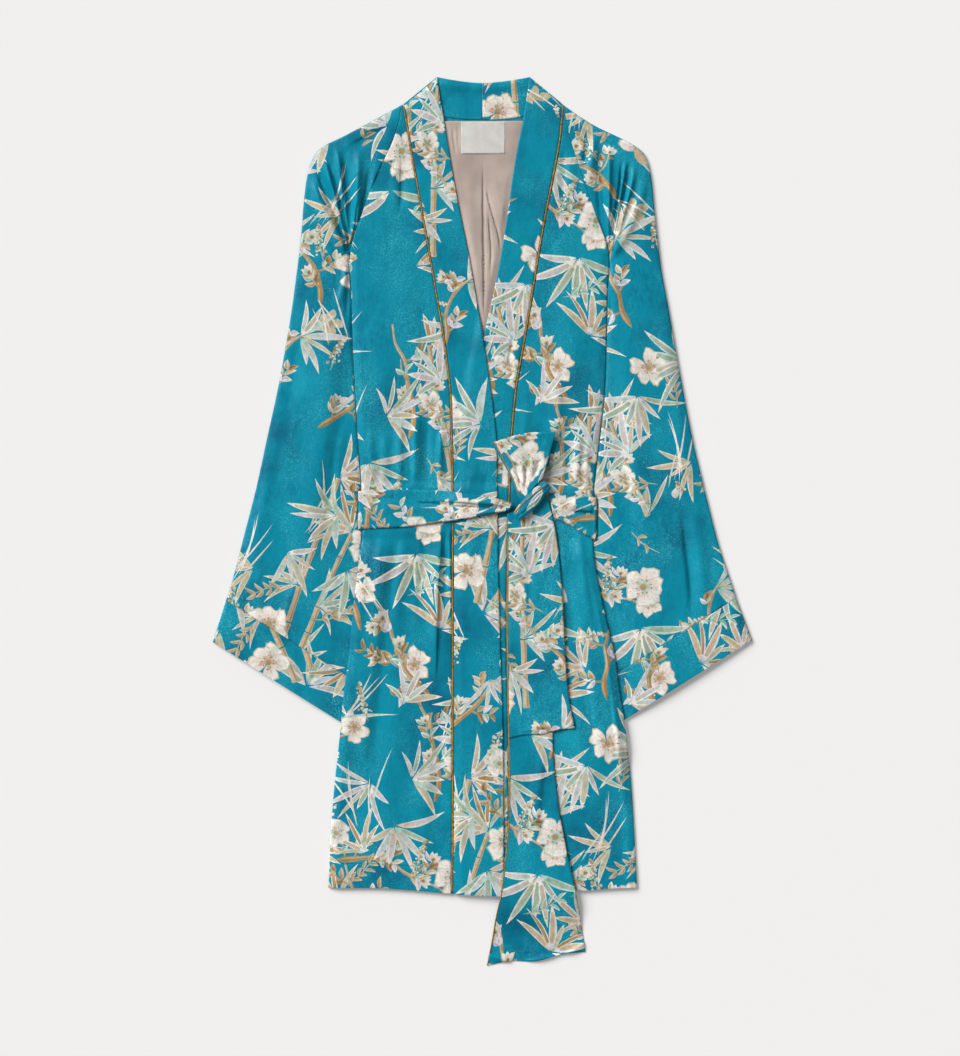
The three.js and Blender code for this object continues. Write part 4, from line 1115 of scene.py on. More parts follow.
def satin():
    """Teal satin under the print's own colours: mottled at random, partly the cloth's own watercolour
    mottle and partly painted sheen in the lighter patches, and grained.
    """
    look = Look("satin_print", 0.42)
    noise, ramp, mix = look.noise, look.ramp, look.mix
    # Darker and lighter teal clouds at random: the darker ones are the cloth's own mottle, the lighter
    # ones partly mottle and partly painted sheen
    mottle_and_sheen = ramp(noise(11, 5, 0.6), (0.33, TEAL_DARK), (0.50, TEAL), (0.60, TEAL), (0.76, TEAL_PALE))
    grains = ramp(noise(640, 3, 0.8), (0.50, 0), (0.60, 1))
    patches = ramp(noise(17, 4, 0.62, (1, 0.7, 1)), (0.46, 0.02), (0.66, 0.66))
    ground = mix("MIX", mix("MULTIPLY", 1.0, grains, patches), mottle_and_sheen, TEAL_LIGHT)
    pits = ramp(noise(380, 2, 0.7), (0.30, (0.78, 0.84, 0.86)), (0.44, 1))
    ground = mix("MULTIPLY", 1.0, ground, pits)
    brushed = ramp(noise(150, 4, 0.75, (1.5, 0.8, 1)), (0.40, (0.60, 0.76, 0.82)), (0.56, 1))
    zones = ramp(noise(10, 3, 0.5, (0.9, 1.2, 1)), (0.50, 0), (0.62, 1))
    ground = mix("MULTIPLY", zones, ground, brushed)
    ink = look.add("Attribute")
    ink.attribute_name = "print"
    grain = ramp(noise(240, 4, 0.75), (0.3, (0.74, 0.75, 0.72)), (0.62, 1))
    green, brown = (0.70, 0.80, 0.72), (0.94, 0.84, 0.68)
    stain = ramp(noise(95, 3, 0.6), (0.36, green), (0.48, 1), (0.56, 1), (0.68, brown))
    inked = mix("MULTIPLY", 0.85, ink.outputs["Color"], grain)
    inked = mix("MULTIPLY", 0.75, inked, stain)
    dry = ramp(noise(420, 3, 0.8, (1, 1.6, 1)), (0.26, 0.35), (0.40, 1))
    cover = look.sum("MULTIPLY", ink.outputs["Alpha"], dry)
    look.colour(mix("MIX", cover, ground, inked))
    weave, ripple = noise(900, 2, 0.5, (1, 3.5, 1)), noise(36, 4, 0.6, (1.6, 0.7, 1))
    look.bump(look.sum("MULTIPLY_ADD", weave, 0.06, ripple), 0.35, 0.004)
    return look.material


LINING_TONES = srgb(166, 150, 141), srgb(193, 177, 166)
LABEL_TONES = srgb(202, 200, 194), srgb(218, 216, 210)
GOLD_TONES = srgb(120, 86, 34), srgb(184, 146, 78)


def plain_look(name, roughness, sheen, noise, tones):
    """One colour that varies between a dark and a pale tone."""
    look = Look(name, roughness, sheen)
    look.colour(look.ramp(look.noise(*noise), (0.3, tones[0]), (0.7, tones[1])))
    return look


def lining_material():
    look = plain_look("lining", 0.55, 0.15, (22, 4), LINING_TONES)
    weave, ripple = look.noise(1100, 2, 0.5, (3, 1, 1)), look.noise(50, 3, 0.5)
    look.bump(look.sum("MULTIPLY_ADD", weave, 0.15, ripple), 0.22, 0.0015)
    return look.material


def woven(name, roughness, sheen, noise, tones, threads, stretch):
    look = plain_look(name, roughness, sheen, noise, tones)
    look.bump(look.noise(threads, 2, 0.5, (1, stretch, 1)), 0.3, 0.0008)
    return look.material


MATERIALS = {
    "satin_print": satin(),
    "lining": lining_material(),
    "label_cloth": woven("label_cloth", 0.7, 0.1, (120, 3), LABEL_TONES, 1500, 6),
    "gold_piping": woven("gold_piping", 0.38, 0.2, (300, 3), GOLD_TONES, 900, 4),
}
THREAD = plain_look("teal_thread", 0.5, 0.2, (500, 2), (TEAL_DARK, TEAL)).material


# Outlines, anticlockwise in plan
def rising(name, low, high, shift=0.0, step=6.0):
    ys = np.linspace(low, high, max(2, int((high - low) / step)))
    return columns(body(name, ys) + shift, ys)


def hem_line(x0, x1):
    xs = np.linspace(x0, x1, max(2, int(abs(x1 - x0) / 6)))
    return columns(xs, hem_y(xs))


INSET = PIPING_WIDTH / 2 + SEAM_GAP


def front_outline(side):
    seam = rising(f"outer_{side}", HEM_Y, SHOULDER_Y - 1, SIGN[side] * INSET)
    low, high = plan_order(side, rising(f"side_{side}", HEM_Y, SHOULDER_Y - 1), seam)
    return np.concatenate([hem_line(low[0, 0], high[0, 0]), high, low[::-1][:-1]])


HEM_FOLD = 28
HEM_FOLD_ROWS = (-3.2, -2.4, -1.6, -0.9, -0.3, 0.4, 1.0, 1.7)
STITCH_PITCH = 3.1
STITCH_RADIUS = 0.22


def front(side):
    outline = front_outline(side)

    def place(x, y):
        inward = side_distance(x, y)
        folded = np.where(y < UNDERARM_Y, round_down(inward, 2.4, 1.25), round_down(inward, 1.0, 0.3))
        seam = np.abs(x - body(f"outer_{side}", y)) - INSET
        above = y - hem_y(x)
        z = front_top(x, y) - folded - round_down(seam, 2.2, 0.7) - round_down(above, 1.2, 0.35)
        turned_up = above - HEM_FOLD
        z = z + 0.4 * (1 - smooth(turned_up, -0.2, 1.6)) - 0.35 * np.exp(-((turned_up + 1.6) / 0.9) ** 2)
        return x, y, z

    cloth = Cloth(f"front_{side}")
    low, high = sorted((body(f"side_{side}", HEM_Y), body(f"outer_{side}", HEM_Y)))
    xs = np.arange(low + 3, high - 3, 2.2)
    fold = np.concatenate([columns(xs, hem_y(xs) + HEM_FOLD + row) for row in HEM_FOLD_ROWS])
    lay(cloth, outline, place, extra=np.concatenate([crease_points(FRONT_CREASES), fold]))
    cloth.finish()
    runs = []
    for start in np.arange(low + 3, high - 6, STITCH_PITCH):
        x = start + np.array([0.0, 1.1, 2.2])
        y = hem_y(x) + HEM_FOLD - 1.6
        runs.append(columns(x, y, place(x, y)[2] + (0.0, 0.2, 0.0)))
    thread(f"front_{side}_stitches", runs, STITCH_RADIUS, "satin_print", 5, THREAD)


def shoulder_share(y):
    """How far the band has turned up towards the neck."""
    return smooth(y, 200, SHOULDER_Y) ** 1.5


NECK_RISE = 31


def band_outline(side):
    sign = SIGN[side]
    ys = np.linspace(HEM_Y, SHOULDER_Y, 140)
    rise = NECK_RISE * shoulder_share(ys)
    apart = 4.7 * np.clip((ys + rise - SHOULDER_Y) / NECK_RISE, 0, 1)
    outer = columns(body(f"outer_{side}", ys) - sign * INSET, ys)
    inner = columns(body(f"inner_{side}", ys + rise) + sign * apart, ys + rise)
    low, high = plan_order(side, outer, inner)
    hem = hem_line(low[0, 0], high[0, 0])[1:-1]
    for run in (outer, inner):
        run[0, 1] = hem_y(run[0, 0])
    return np.concatenate([hem, high, low[::-1]]), inner, outer


def band(side):
    outline, inner, outer = band_outline(side)
    top = np.array([outer[-1], inner[-1]])

    def place(x, y):
        free_gap = SIGN[side] * (x - np.interp(y, inner[:, 1], inner[:, 0]))
        seam_gap = np.abs(x - body(f"outer_{side}", np.minimum(y, SHOULDER_Y))) - INSET
        z = front_top(x, y, BAND_CREASES) + BAND_WALL - WALL
        if side == "left":
            z = z + crossing(x, y)
        level = z - round_down(free_gap, 1.8, 0.7) - round_down(seam_gap, 2.2, 0.8)
        level = level - round_down(y - hem_y(x), 1.2, 0.4)
        return x, y, lerp(1.8, level, 1 - (1 - np.clip(far(top, x, y) / 7, 0, 1)) ** 2.4)

    cloth = Cloth(f"band_{side}")
    lay(cloth, outline, place, grid=3.0, extra=crease_points(BAND_CREASES))
    cloth.finish()


def piping(side):
    ys = np.linspace(HEM_Y + 1.2, SHOULDER_Y, 150)
    x = body(f"outer_{side}", ys)
    y = np.where(ys < HEM_Y + 8, hem_y(x) + (ys - HEM_Y), ys)
    z = front_top(x, y) - WALL + 1.15
    z = np.minimum(z, lerp(2.2, z, smooth(SHOULDER_Y - ys, 0, 7)))
    piece = thread(f"piping_{side}_cord", [columns(x, y, z)], PIPING_WIDTH / 2, sides=8)
    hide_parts(f"piping_{side}")


def sleeve_inner(side, y):
    low, high = BELT_SIDE[side]
    belted = smooth(y, low - 4, low) * (1 - smooth(y, high, high + 4))
    tuck = SLEEVE_TUCK.at("tuck", y) - 3.6 * belted
    return body(f"side_{side}", np.minimum(y, UNDERARM_Y)) - SIGN[side] * tuck


def tube_top(inward, outward, pressed):
    """The upper face of a tube between its folds, pressed flat along the body where pressed is 1."""
    t = inward / np.maximum(inward + outward, 0.1)
    hump = SLEEVE_LOFT * np.sin(np.pi * np.clip(t, 0, 1)) ** 0.6
    return SLEEVE_EDGE - 0.1 + hump * lerp(1, smooth(t, 0.1, 0.35), pressed)


def underside(cloth, outline, fold_in, fold_out, aside):
    """Lays the hidden side of a tube, which curves up to both folds."""
    def place(x, y):
        edge = np.minimum(far(fold_in, x, y), far(fold_out, x, y))
        return x, y, round_down(edge, 1.6, FOLD_HEIGHT)

    shapes = print_on(cloth.node, outline, aside)
    lay(cloth, outline, place, shapes, grid=9, flip=True, inner_grid=14)


def sleeve(side):
    sign = SIGN[side]
    outer = smooth_run(SLEEVE_OUTER[side])
    ys = np.linspace(CUFF_SEAM_Y[side], UNDERARM_Y + 1, 150)
    inner = columns(sleeve_inner(side, ys), ys)
    seam_ys = np.linspace(UNDERARM_Y + 1, SHOULDER_Y, 34)
    raglan = columns(body(f"side_{side}", seam_ys) + sign * 0.3, seam_ys)[1:]
    outline = np.concatenate([outer, inner, raglan[:-1]])[::-sign]
    fold_in, fold_out = inner[::-sign], outer[::-sign]
    cuff_line = np.array([outer[-1], inner[0]])
    creases = SLEEVE_CREASES[side]

    def place(x, y):
        inward, outward = far(fold_in, x, y), far(fold_out, x, y)
        seam, cuff_seam = far(raglan, x, y), far(cuff_line, x, y)
        folds = crease_heights(creases, x, y) * smooth(outward, 0, 16) * smooth(inward, -1, 4)
        crown = tube_top(inward, outward, smooth(-y, 10, 60))
        near_seam = (1 - smooth(seam, 0, 26)) * (y > UNDERARM_Y - 8)
        crown = lerp(crown, WALL + SEAM_GAP + LOFT + WALL, near_seam * smooth(outward, 0, 12))
        z = np.maximum(crown + folds, 1.9)
        z = z - round_down(seam, 1.4, 0.6) * (y > UNDERARM_Y) - round_down(cuff_seam, 1.8, 0.6)
        lost = round_down(outward, 1.9, z - FOLD_HEIGHT)
        beneath = round_down(inward, lerp(1.9, 4.2, smooth(y, -30, 40)), z - FOLD_HEIGHT)
        return x, y, np.maximum(z - np.maximum(lost, beneath), FOLD_HEIGHT)

    cloth = Cloth(f"sleeve_{side}")
    lay(cloth, outline, place, extra=crease_points(creases))
    underside(cloth, outline, fold_in, fold_out, (110, 80))
    cloth.finish()
    return outer, inner


def cuff(side, outer, inner):
    seam_in, seam_out = inner[0] - (0, CUFF_GAP), outer[-1] - (0, CUFF_GAP)
    hem_in, hem_out = (np.array(p) for p in CUFF_HEM[side])
    outline = np.array([hem_in, hem_out, seam_out, seam_in])[::SIGN[side]]
    fold_in, fold_out = np.array([seam_in, hem_in]), np.array([seam_out, hem_out])
    seam, hem = np.array([seam_in, seam_out]), np.array([hem_in, hem_out])
    creases = SLEEVE_CREASES[side]

    def place(x, y):
        inward, outward = far(fold_in, x, y), far(fold_out, x, y)
        folds = crease_heights(creases, x, y) * smooth(outward, 0, 16) * smooth(inward, 24, 40)
        z = np.maximum(tube_top(inward, outward, 1) + folds, 2 * WALL + 0.35) + 0.15
        z = z - round_down(far(seam, x, y), 1.8, 0.6) - round_down(far(hem, x, y), 1.4, 0.4)
        edge = np.minimum(inward, outward)
        return x, y, np.maximum(z - round_down(edge, 1.9, z - FOLD_HEIGHT), FOLD_HEIGHT)

    cloth = Cloth(f"cuff_{side}")
    lay(cloth, outline, place, grid=3.0, extra=crease_points(creases))
    underside(cloth, outline, fold_in, fold_out, (90, 0))
    cloth.finish()


def back():
    xs = np.linspace(body("side_right", SHOULDER_Y), body("side_left", SHOULDER_Y), 40)
    share = (xs - xs[-1]) / (xs[0] - xs[-1])
    neck = columns(xs, SHOULDER_Y - NECK_DIP * np.sin(np.pi * share) ** 0.7)
    left, right = (rising(f"side_{side}", HEM_Y, SHOULDER_Y)[1:-1] for side in ("left", "right"))
    hem = hem_line(body("side_left", HEM_Y), body("side_right", HEM_Y))
    outline = np.concatenate([hem, right, neck, left[::-1]])

    def place(x, y):
        rise = np.where(y < UNDERARM_Y, round_down(side_distance(x, y), 2.0, 1.2), 0.0)
        return x, y, back_base(x, y) + rise

    cloth = Cloth("back_panel")
    shapes = print_on("back_panel", outline, (0, 0))
    lay(cloth, outline, place, shapes, grid=11, flip=True, thickness=0.8, inner_grid=14)
    cloth.finish()


LINING_LOW = 176


def lining():
    ys = np.linspace(LINING_LOW, NECK_Y - 1, 50)
    rise = smooth((ys - LINING_LOW) / (NECK_Y - LINING_LOW), 0, 0.3)
    left = columns(lerp(-24, body("inner_left", ys) - 14, rise), ys)
    right = columns(lerp(28, body("inner_right", ys) + 14, rise), ys)
    outline = np.concatenate([right, left[::-1]])

    def place(x, y):
        shown = smooth(np.minimum(x - body("inner_left", y), body("inner_right", y) - x), -1, 7)
        slack = 0.5 + 1.0 * (1 - smooth(y, 372, 400))
        folds = np.maximum(crease_heights(LINING_CREASES, x, y), -1.6) + slack
        z = back_base(x, y) + WALL + SEAM_GAP + LINING_WALL + shown * np.maximum(folds, -0.1)
        return x, y, z - round_down(NECK_Y - 1 - y, 2.0, 0.6)

    cloth = Cloth("back_lining", "lining")
    lay(cloth, outline, place, grid=2.6, extra=crease_points(LINING_CREASES))
    cloth.finish()


NECK_BAND_TOP_X = {"left": -49.9, "right": 52.0}


def neck_band(side):
    sign = SIGN[side]
    t = np.linspace(0, 1, 30)
    low_x = lerp(sign * 0.2, body(f"outer_{side}", SHOULDER_Y), t)
    low = columns(low_x, lerp(NECK_Y + 0.4, SHOULDER_Y + 1.4, t ** 2.2))
    high = columns(lerp(sign * 0.2, NECK_BAND_TOP_X[side], t), lerp(482, 488.6, t ** 1.6))
    outline = np.concatenate([low, high[::-1]])[::sign]
    shoulder = np.array([low[-1], high[-1]])

    def place(x, y):
        top = np.interp(x, *high[::sign].T) - y
        bottom = y - np.interp(x, *low[::sign].T)
        roll = 1.2 * np.exp(-((top - 6) / 5) ** 2)
        z = 2.0 + roll - round_down(top, 2.2, 1.8)
        z = z - round_down(bottom, 1.6, 0.6) - round_down(np.abs(x), 1.4, 0.5)
        joined = lerp(1.4, z, smooth(far(shoulder, x, y), 0, 12))
        return x, y, np.maximum(np.minimum(z, joined), 0.75)

    cloth = Cloth(f"neck_band_{side}")
    lay(cloth, outline, place, grid=2.6)
    cloth.finish()


LABEL_BOX = (-23.5, 24.8, 404.0, 439.0)
LABEL_TOP = WALL + SEAM_GAP + LINING_WALL + SEAM_GAP + 1.0


def label():
    x0, x1, y0, y1 = LABEL_BOX
    outline = np.array([(x0, y0), (x1, y0), (x1, y1), (x0, y1)])

    def place(x, y):
        edge = np.minimum(np.minimum(x - x0, x1 - x), np.minimum(y - y0, y1 - y))
        curl = 0.25 * np.sin((x - x0) * 0.09) + 0.15 * np.sin((y - y0) * 0.16 + 1)
        return x, y, LABEL_TOP + curl - round_down(edge, 1.2, 0.5)

    cloth = Cloth("label", "label_cloth")
    lay(cloth, outline, place, grid=2.0)
    cloth.finish()
    runs = []
    for cx, sx in ((x0, 1), (x1, -1)):
        for cy, sy in ((y0, 1), (y1, -1)):
            for k in range(3):
                a = np.array([cx + sx * (0.6 + 2.1 * k), cy + sy * 1.2, LABEL_TOP + 0.05])
                runs.append([a, a + (sx * 0.8, 0, 0.16), a + (sx * 1.6, 0, 0.0)])
    thread("label_stitches", runs, STITCH_RADIUS, "label_cloth", 5)


# Belt wraps over the waist: x, upper edge, lower edge, height added by folds, lean of the lower edge
WRAP_COLUMNS = ["top", "bottom", "lift", "lean"]
WRAP = {
    "left": Table(WRAP_COLUMNS, [
        [-134.3, 33.2, -8.6, 0.0, 0], [-127.5, 34.6, -8.4, 0.2, 0], [-106.0, 34.8, -7.4, 0.7, 0],
        [-80.8, 34.8, -5.7, 1.0, 0], [-51.8, 34.2, -2.2, 1.2, 0], [-32.8, 32.2, 0.6, 1.4, 0],
        [-8.9, 29.1, 4.2, 1.6, 0], [7.6, 26.7, 7.2, 1.9, -1], [22.0, 23.4, 9.6, 2.2, -4],
        [35.0, 19.6, 11.6, 2.4, -6],
    ]),
    "right": Table(WRAP_COLUMNS, [
        [123.5, 26.1, -20.4, 0.0, 0], [117.3, 26.8, -17.0, 0.3, 0], [107.4, 28.0, -11.5, 0.8, 0],
        [97.5, 28.9, -5.4, 1.2, 1], [85.4, 30.0, -0.6, 1.6, 3], [72.8, 31.0, 3.6, 2.0, 5.4],
    ]),
}
WRAP_END = {"left": (35.0, -134.3), "right": (72.8, 123.5)}
WRAP_CREASES = {
    "left": [
        ([(-58, 22.6), (-32, 21.6), (-8, 20.0), (16, 18.2), (39, 16.6)], 2.2, 7.0, 0.8),
        ([(-50, 15.8), (-20, 15.6), (14, 14.6), (38, 14.2)], -1.7, 1.6, 3.0),
        ([(-76, 20.4), (-56, 19.6), (-30, 17.6)], -1.7, 1.2, 3.0),
        ([(-128, 12), (-100, 13), (-70, 15), (-40, 17)], 0.8, 6.0, 5.0),
        ([(-134, 24), (-112, 25), (-84, 26)], -0.7, 3.0, 4.0),
        ([(-20, 27), (0, 25.5), (30, 21)], -0.8, 1.6, 2.4),
        ([(-10, 8.8), (10, 10.0), (32, 12.4)], 0.8, 2.6, 2.0),
    ],
    "right": [
        ([(92, 13), (104, 10), (116, 8.4), (130, 8)], -2.6, 1.6, 3.2),
        ([(92, 22), (104, 16), (116, 12.4), (130, 11.6)], 2.0, 5.0, 1.8),
        ([(76, 20), (92, 12), (108, 3), (122, -5)], 1.1, 4.0, 4.0),
        ([(76, 12), (90, 6), (104, -2), (120, -12)], -1.0, 2.6, 3.2),
        ([(78, 27), (94, 26), (110, 25), (124, 24)], -0.6, 2.0, 3.0),
    ],
}
BELT_CLEARANCE = 0.4
# Where the height over the bands begins and ends at the waist
BANDS_START = (-38, -20)
BANDS_END = (31, 46)
BAND_RIDGE = 0.7


def waist_top(x):
    """The height that the belt lies on at the waist, which is higher over the bands."""
    y = np.full_like(x, float(WAIST_Y))
    low, high = body("outer_left", WAIST_Y) - 3, body("outer_right", WAIST_Y) + 3
    raised = smooth(x, *BANDS_START) * (1 - smooth(x, *BANDS_END)) * (BAND_WALL + BAND_RIDGE)
    ridge = np.where((x > low) & (x < high), BAND_RIDGE, 0.0)
    return front_top(x, y, ()) + ridge + np.where(x > BANDS_START[0], raised, 0.0)


BELT_EDGE_ROWS = (0.3, 0.8, 1.5, 2.3)


def belt_wrap(side):
    """The belt over the waist, from the knot to the side, where it turns under the robe."""
    sign = SIGN[side]
    wrap = WRAP[side]
    start, end = WRAP_END[side]
    ends = sorted((start, end))
    side_top = float(waist_top(np.array([end - sign * 6.0]))[0]) + 0.35
    radius = (side_top - BELT_WALL) / 2
    turn_length = radius * math.pi
    turned_under = end + sign * np.linspace(0, turn_length, 8)[1:]
    run = np.concatenate([np.linspace(start, end, 40), turned_under])
    held = np.clip(run, *ends)
    upper, lower = columns(run, wrap.at("top", held)), columns(run, wrap.at("bottom", held))
    outline = np.concatenate([lower, upper[::-1]])

    def place(u, y):
        x = np.clip(u, *ends)
        top, bottom, lift = wrap.at("top", x), wrap.at("bottom", x), wrap.at("lift", x)
        t = np.clip((y - bottom) / (top - bottom), 0, 1)
        clear = np.maximum(np.maximum(waist_top(x - 3), waist_top(x)), waist_top(x + 3)) + BELT_CLEARANCE
        z = np.maximum(clear + lift, side_top) + BELT_WALL
        z = z + crease_heights(WRAP_CREASES[side], x, y) * smooth(sign * (end - x), 0, 5)
        z = z - round_down(np.minimum(y - bottom, top - y), 2.2, 1.1 + 0.4 * lift)
        angle = np.clip(sign * (u - end), 0, turn_length) / radius
        turned = angle > 0
        reach = radius + BELT_WALL
        x = np.where(turned, end + sign * reach * np.sin(angle) * 0.8, x + wrap.at("lean", x) * (1 - t))
        return x, y, np.maximum(np.where(turned, z - reach * (1 - np.cos(angle)), z), 0.05)

    cloth = Cloth(f"belt_wrap_{side}")
    extra = crease_points(WRAP_CREASES[side], 2.0)
    lay(cloth, outline, place, grid=2.2, edge_rows=BELT_EDGE_ROWS, extra=extra, inner_grid=3.0)
    cloth.finish()


def belt_back():
    left, right = WRAP_END["left"][1] + 1.2, WRAP_END["right"][1] - 1.2
    low, high = WAIST_Y - BELT_BACK_HALF, WAIST_Y + BELT_BACK_HALF
    outline = np.array([(left, low), (right, low - 4), (right, high - 4), (left, high)])
    cloth = Cloth("belt_back")
    lay(cloth, outline, lambda x, y: (x, y, np.zeros_like(x)), grid=7, flip=True, thickness=0.8)
    cloth.finish()


# Belt tails: y, left and right edge, height of the underside, how much higher the right edge is
TAIL_COLUMNS = ["left", "right", "base", "slant"]
TAIL = {
    "lower": Table(TAIL_COLUMNS, [
        [-4, 36.0, 70.0, 6.0, 0], [-43, 34.0, 76.0, 5.9, 0], [-97, 33.0, 80.0, 5.8, 0],
        [-170, 31.5, 80.5, 5.8, 0], [-241, 29.2, 77.4, 5.8, 0], [-307, 29.6, 83.1, 5.8, 0],
        [-352, 27.0, 90.4, 6.6, 1], [-385, 23.4, 97.2, 7.4, 3], [-412, 20.0, 102.4, 7.4, 6],
        [-424, 17.0, 104.6, 6.6, 8], [-440, 13.8, 107.2, 3.6, 10], [-462, 10.2, 109.8, 0.6, 12],
        [-488.6, 4.9, 113.6, 0.0, 15],
    ]),
    "upper": Table(TAIL_COLUMNS, [
        [8, 27.0, 71.0, 7.4, 21], [-6, 26.8, 77.4, 7.4, 10], [-37, 27.6, 84.1, 7.5, 0],
        [-97, 27.4, 88.8, 7.5, 0], [-150, 27.4, 91.0, 7.5, 0], [-200, 28.0, 95.4, 7.4, 4],
        [-238, 28.9, 101.4, 7.4, 11],
    ]),
}
TAIL_END = {"lower": (-488.6, -4), "upper": (-238, 8)}
END_WAVE = {"lower": 2.6, "upper": 1.4}
TAIL_CREASES = {
    "lower": [
        ([(66, -240), (64, -276), (60, -316), (60, -344), (54, -370)], 1.7, 8.0, 4.0),
        ([(46, -250), (44, -300), (40, -350), (34, -400)], -0.8, 8.0, 10.0),
        ([(74, -300), (80, -350), (86, -410), (92, -470)], 0.8, 9.0, 12.0),
        ([(30, -400), (46, -416), (70, -420), (96, -410)], -0.9, 7.0, 9.0),
        ([(40, -478), (66, -474), (90, -467), (118, -452)], -0.7, 2.4, 1.4),
        ([(40, -484), (70, -480), (98, -473), (124, -456)], 3.2, 2.0, 5.0),
        ([(0, -470), (10, -478), (24, -482), (42, -490)], 2.6, 2.4, 4.0),
        ([(6, -462), (20, -470), (30, -478), (36, -490)], -0.7, 2.0, 3.0),
        ([(60, -432), (72, -444), (84, -452)], -0.6, 3.0, 4.0),
    ],
    "upper": [
        ([(60, 8), (62, -14), (65, -38), (66, -66)], 2.4, 1.2, 9.0),
        ([(57, 8), (58.6, -14), (61.4, -38), (62.6, -60)], -0.7, 2.4, 1.4),
        ([(84, -200), (94, -212), (104, -230)], 1.5, 2.6, 3.0),
        ([(78, -206), (88, -218), (96, -236)], -0.7, 3.0, 2.4),
        ([(40, -231), (60, -227), (84, -223)], 0.9, 3.0, 2.0),
        ([(44, 4), (43, -20), (40, -50), (38, -84)], 1.0, 5.0, 4.0),
        ([(51, 4), (52, -30), (52, -70), (51, -110)], -0.9, 3.0, 4.0),
        ([(76, -20), (78, -60), (80, -110), (82, -160)], 0.7, 6.0, 6.0),
        ([(44, -120), (46, -170), (48, -236)], -0.5, 9.0, 7.0),
        ([(30, -20), (31, -80), (30, -150), (31, -220)], 0.5, 3.0, 4.0),
    ],
}


def belt_tail(name):
    tail = TAIL[name]
    low, high = TAIL_END[name]
    ys = np.linspace(low, high, 70)
    left = columns(tail.at("left", ys), ys)
    right = columns(tail.at("right", ys), ys + tail.at("slant", ys))
    across = np.linspace(0, 1, 24)
    end = left[0] + (right[0] - left[0]) * across[:, None]
    end[:, 1] += END_WAVE[name] * np.sin(across * 9.5) * np.sin(across * math.pi)
    outline = np.concatenate([end[:-1], right, left[:0:-1]])

    def place(x, y):
        # The rows slant, so a point's own row is found in three steps
        row = y
        for _ in range(3):
            left_x, right_x = tail.at("left", row), tail.at("right", row)
            share = np.clip((x - left_x) / (right_x - left_x), 0, 1)
            row = np.clip(y - tail.at("slant", row) * share, low, high)
        base = tail.at("base", row)
        hung = smooth(base, 0, 4)
        folds = np.maximum(crease_heights(TAIL_CREASES[name], x, y), -0.7)
        z = base + BELT_WALL - 0.5 * (1 - hung) + folds
        edge = np.minimum(x - np.interp(y, *left.T[::-1]), np.interp(y, *right.T[::-1]) - x)
        drop = 0.6 + 0.5 * hung
        lost = np.maximum(round_down(edge, 1.8, drop), round_down(far(end, x, y), 1.6, drop))
        return x, y, np.maximum(z - lost, 0.55)

    cloth = Cloth(f"belt_tail_{name}")
    extra = crease_points(TAIL_CREASES[name])
    lay(cloth, outline, place, grid=2.8, edge_rows=BELT_EDGE_ROWS, extra=extra)
    cloth.finish()
    trim = left[ys < high - 6]
    x, y, z = place(trim[:, 0] + 0.5, trim[:, 1])
    thread(f"belt_tail_{name}_cord", [columns(x, y, z + 0.1)], 0.65)


LOOP_LENGTH = 56
LOOP_WIDTH = 54.0
LOOP_FOLD = 1.7
LOOP_CROWN = 4
LOOP_BASE = 8.1
LOOP = Table(["left_x", "left_y", "right_x", "right_y"], [
    [0, 40.9, 22.2, 66.6, 48.3], [18, 31.6, 47.6, 69.6, 59.0],
    [37, 21.6, 67.4, 74.8, 77.0], [56, 12.4, 84.4, 80.4, 96.0],
])
LOOP_CREASES = [
    ([(36, 66), (38, 56), (40.6, 45), (42, 32)], -1.8, 1.6, 4.0),
    ([(47, 66), (48, 54), (47.4, 44), (46, 32)], -1.7, 1.4, 3.2),
    ([(41, 70), (43, 58), (44, 46), (44, 34)], 1.8, 2.6, 2.2),
    ([(54, 74), (54, 60), (51, 44)], 1.7, 3.0, 3.0),
    ([(62, 70), (60, 58), (55, 46)], -1.6, 1.6, 3.0),
    ([(58, 100), (63, 93), (72, 86)], -1.0, 3.0, 6.0),
    ([(30, 84), (34, 76), (38, 66)], 0.6, 7.0, 6.0),
]


def belt_loop():
    """The bow's loop: out along its lower layer, round the fold and back along the upper one."""
    turn_length = math.pi * LOOP_FOLD
    whole = 2 * LOOP_LENGTH + turn_length
    outline = np.array([(0, 0), (whole, 0), (whole, LOOP_WIDTH), (0, LOOP_WIDTH)])

    def place(u, v):
        t = v / LOOP_WIDTH
        arch = np.sin(np.pi * np.clip(t, 0, 1))
        angle = np.clip(u - LOOP_LENGTH, 0, turn_length) / LOOP_FOLD
        upper = angle / math.pi
        along = np.where(u < LOOP_LENGTH, u, np.where(angle < math.pi, LOOP_LENGTH, whole - u))
        x, y = (lerp(LOOP.at(f"left_{axis}", along), LOOP.at(f"right_{axis}", along), t) for axis in "xy")
        x = x - 1.6 * (1 - upper) * (1 - t) * smooth(along, 14, 50) + 1.2 * upper * (1 - t)
        y = y + LOOP_CROWN * arch * smooth(along, 20, LOOP_LENGTH)
        climb = LOOP_BASE + 1.8 * (1 - smooth(along, 0, 40)) + 0.8 * smooth(along, 34, 56)
        z = climb + LOOP_FOLD * (1 - np.cos(angle)) + 0.6 * arch
        folds = np.maximum(crease_heights(LOOP_CREASES, x, y), -1.6)
        z = z + upper * (0.45 + folds) - upper * round_down(np.minimum(v, LOOP_WIDTH - v), 1.6, 0.9)
        return x, y + (LOOP_FOLD + 0.6) * np.sin(angle), z

    cloth = Cloth("belt_loop")
    lay(cloth, outline, place, grid=1.7, edge_rows=BELT_EDGE_ROWS[:3])
    cloth.finish()
    u = np.linspace(LOOP_LENGTH - 30, whole - 3, 60)
    x, y, z = place(u, np.full_like(u, 0.5))
    thread("belt_loop_cord", [columns(x, y, z + 0.05)], 0.6)


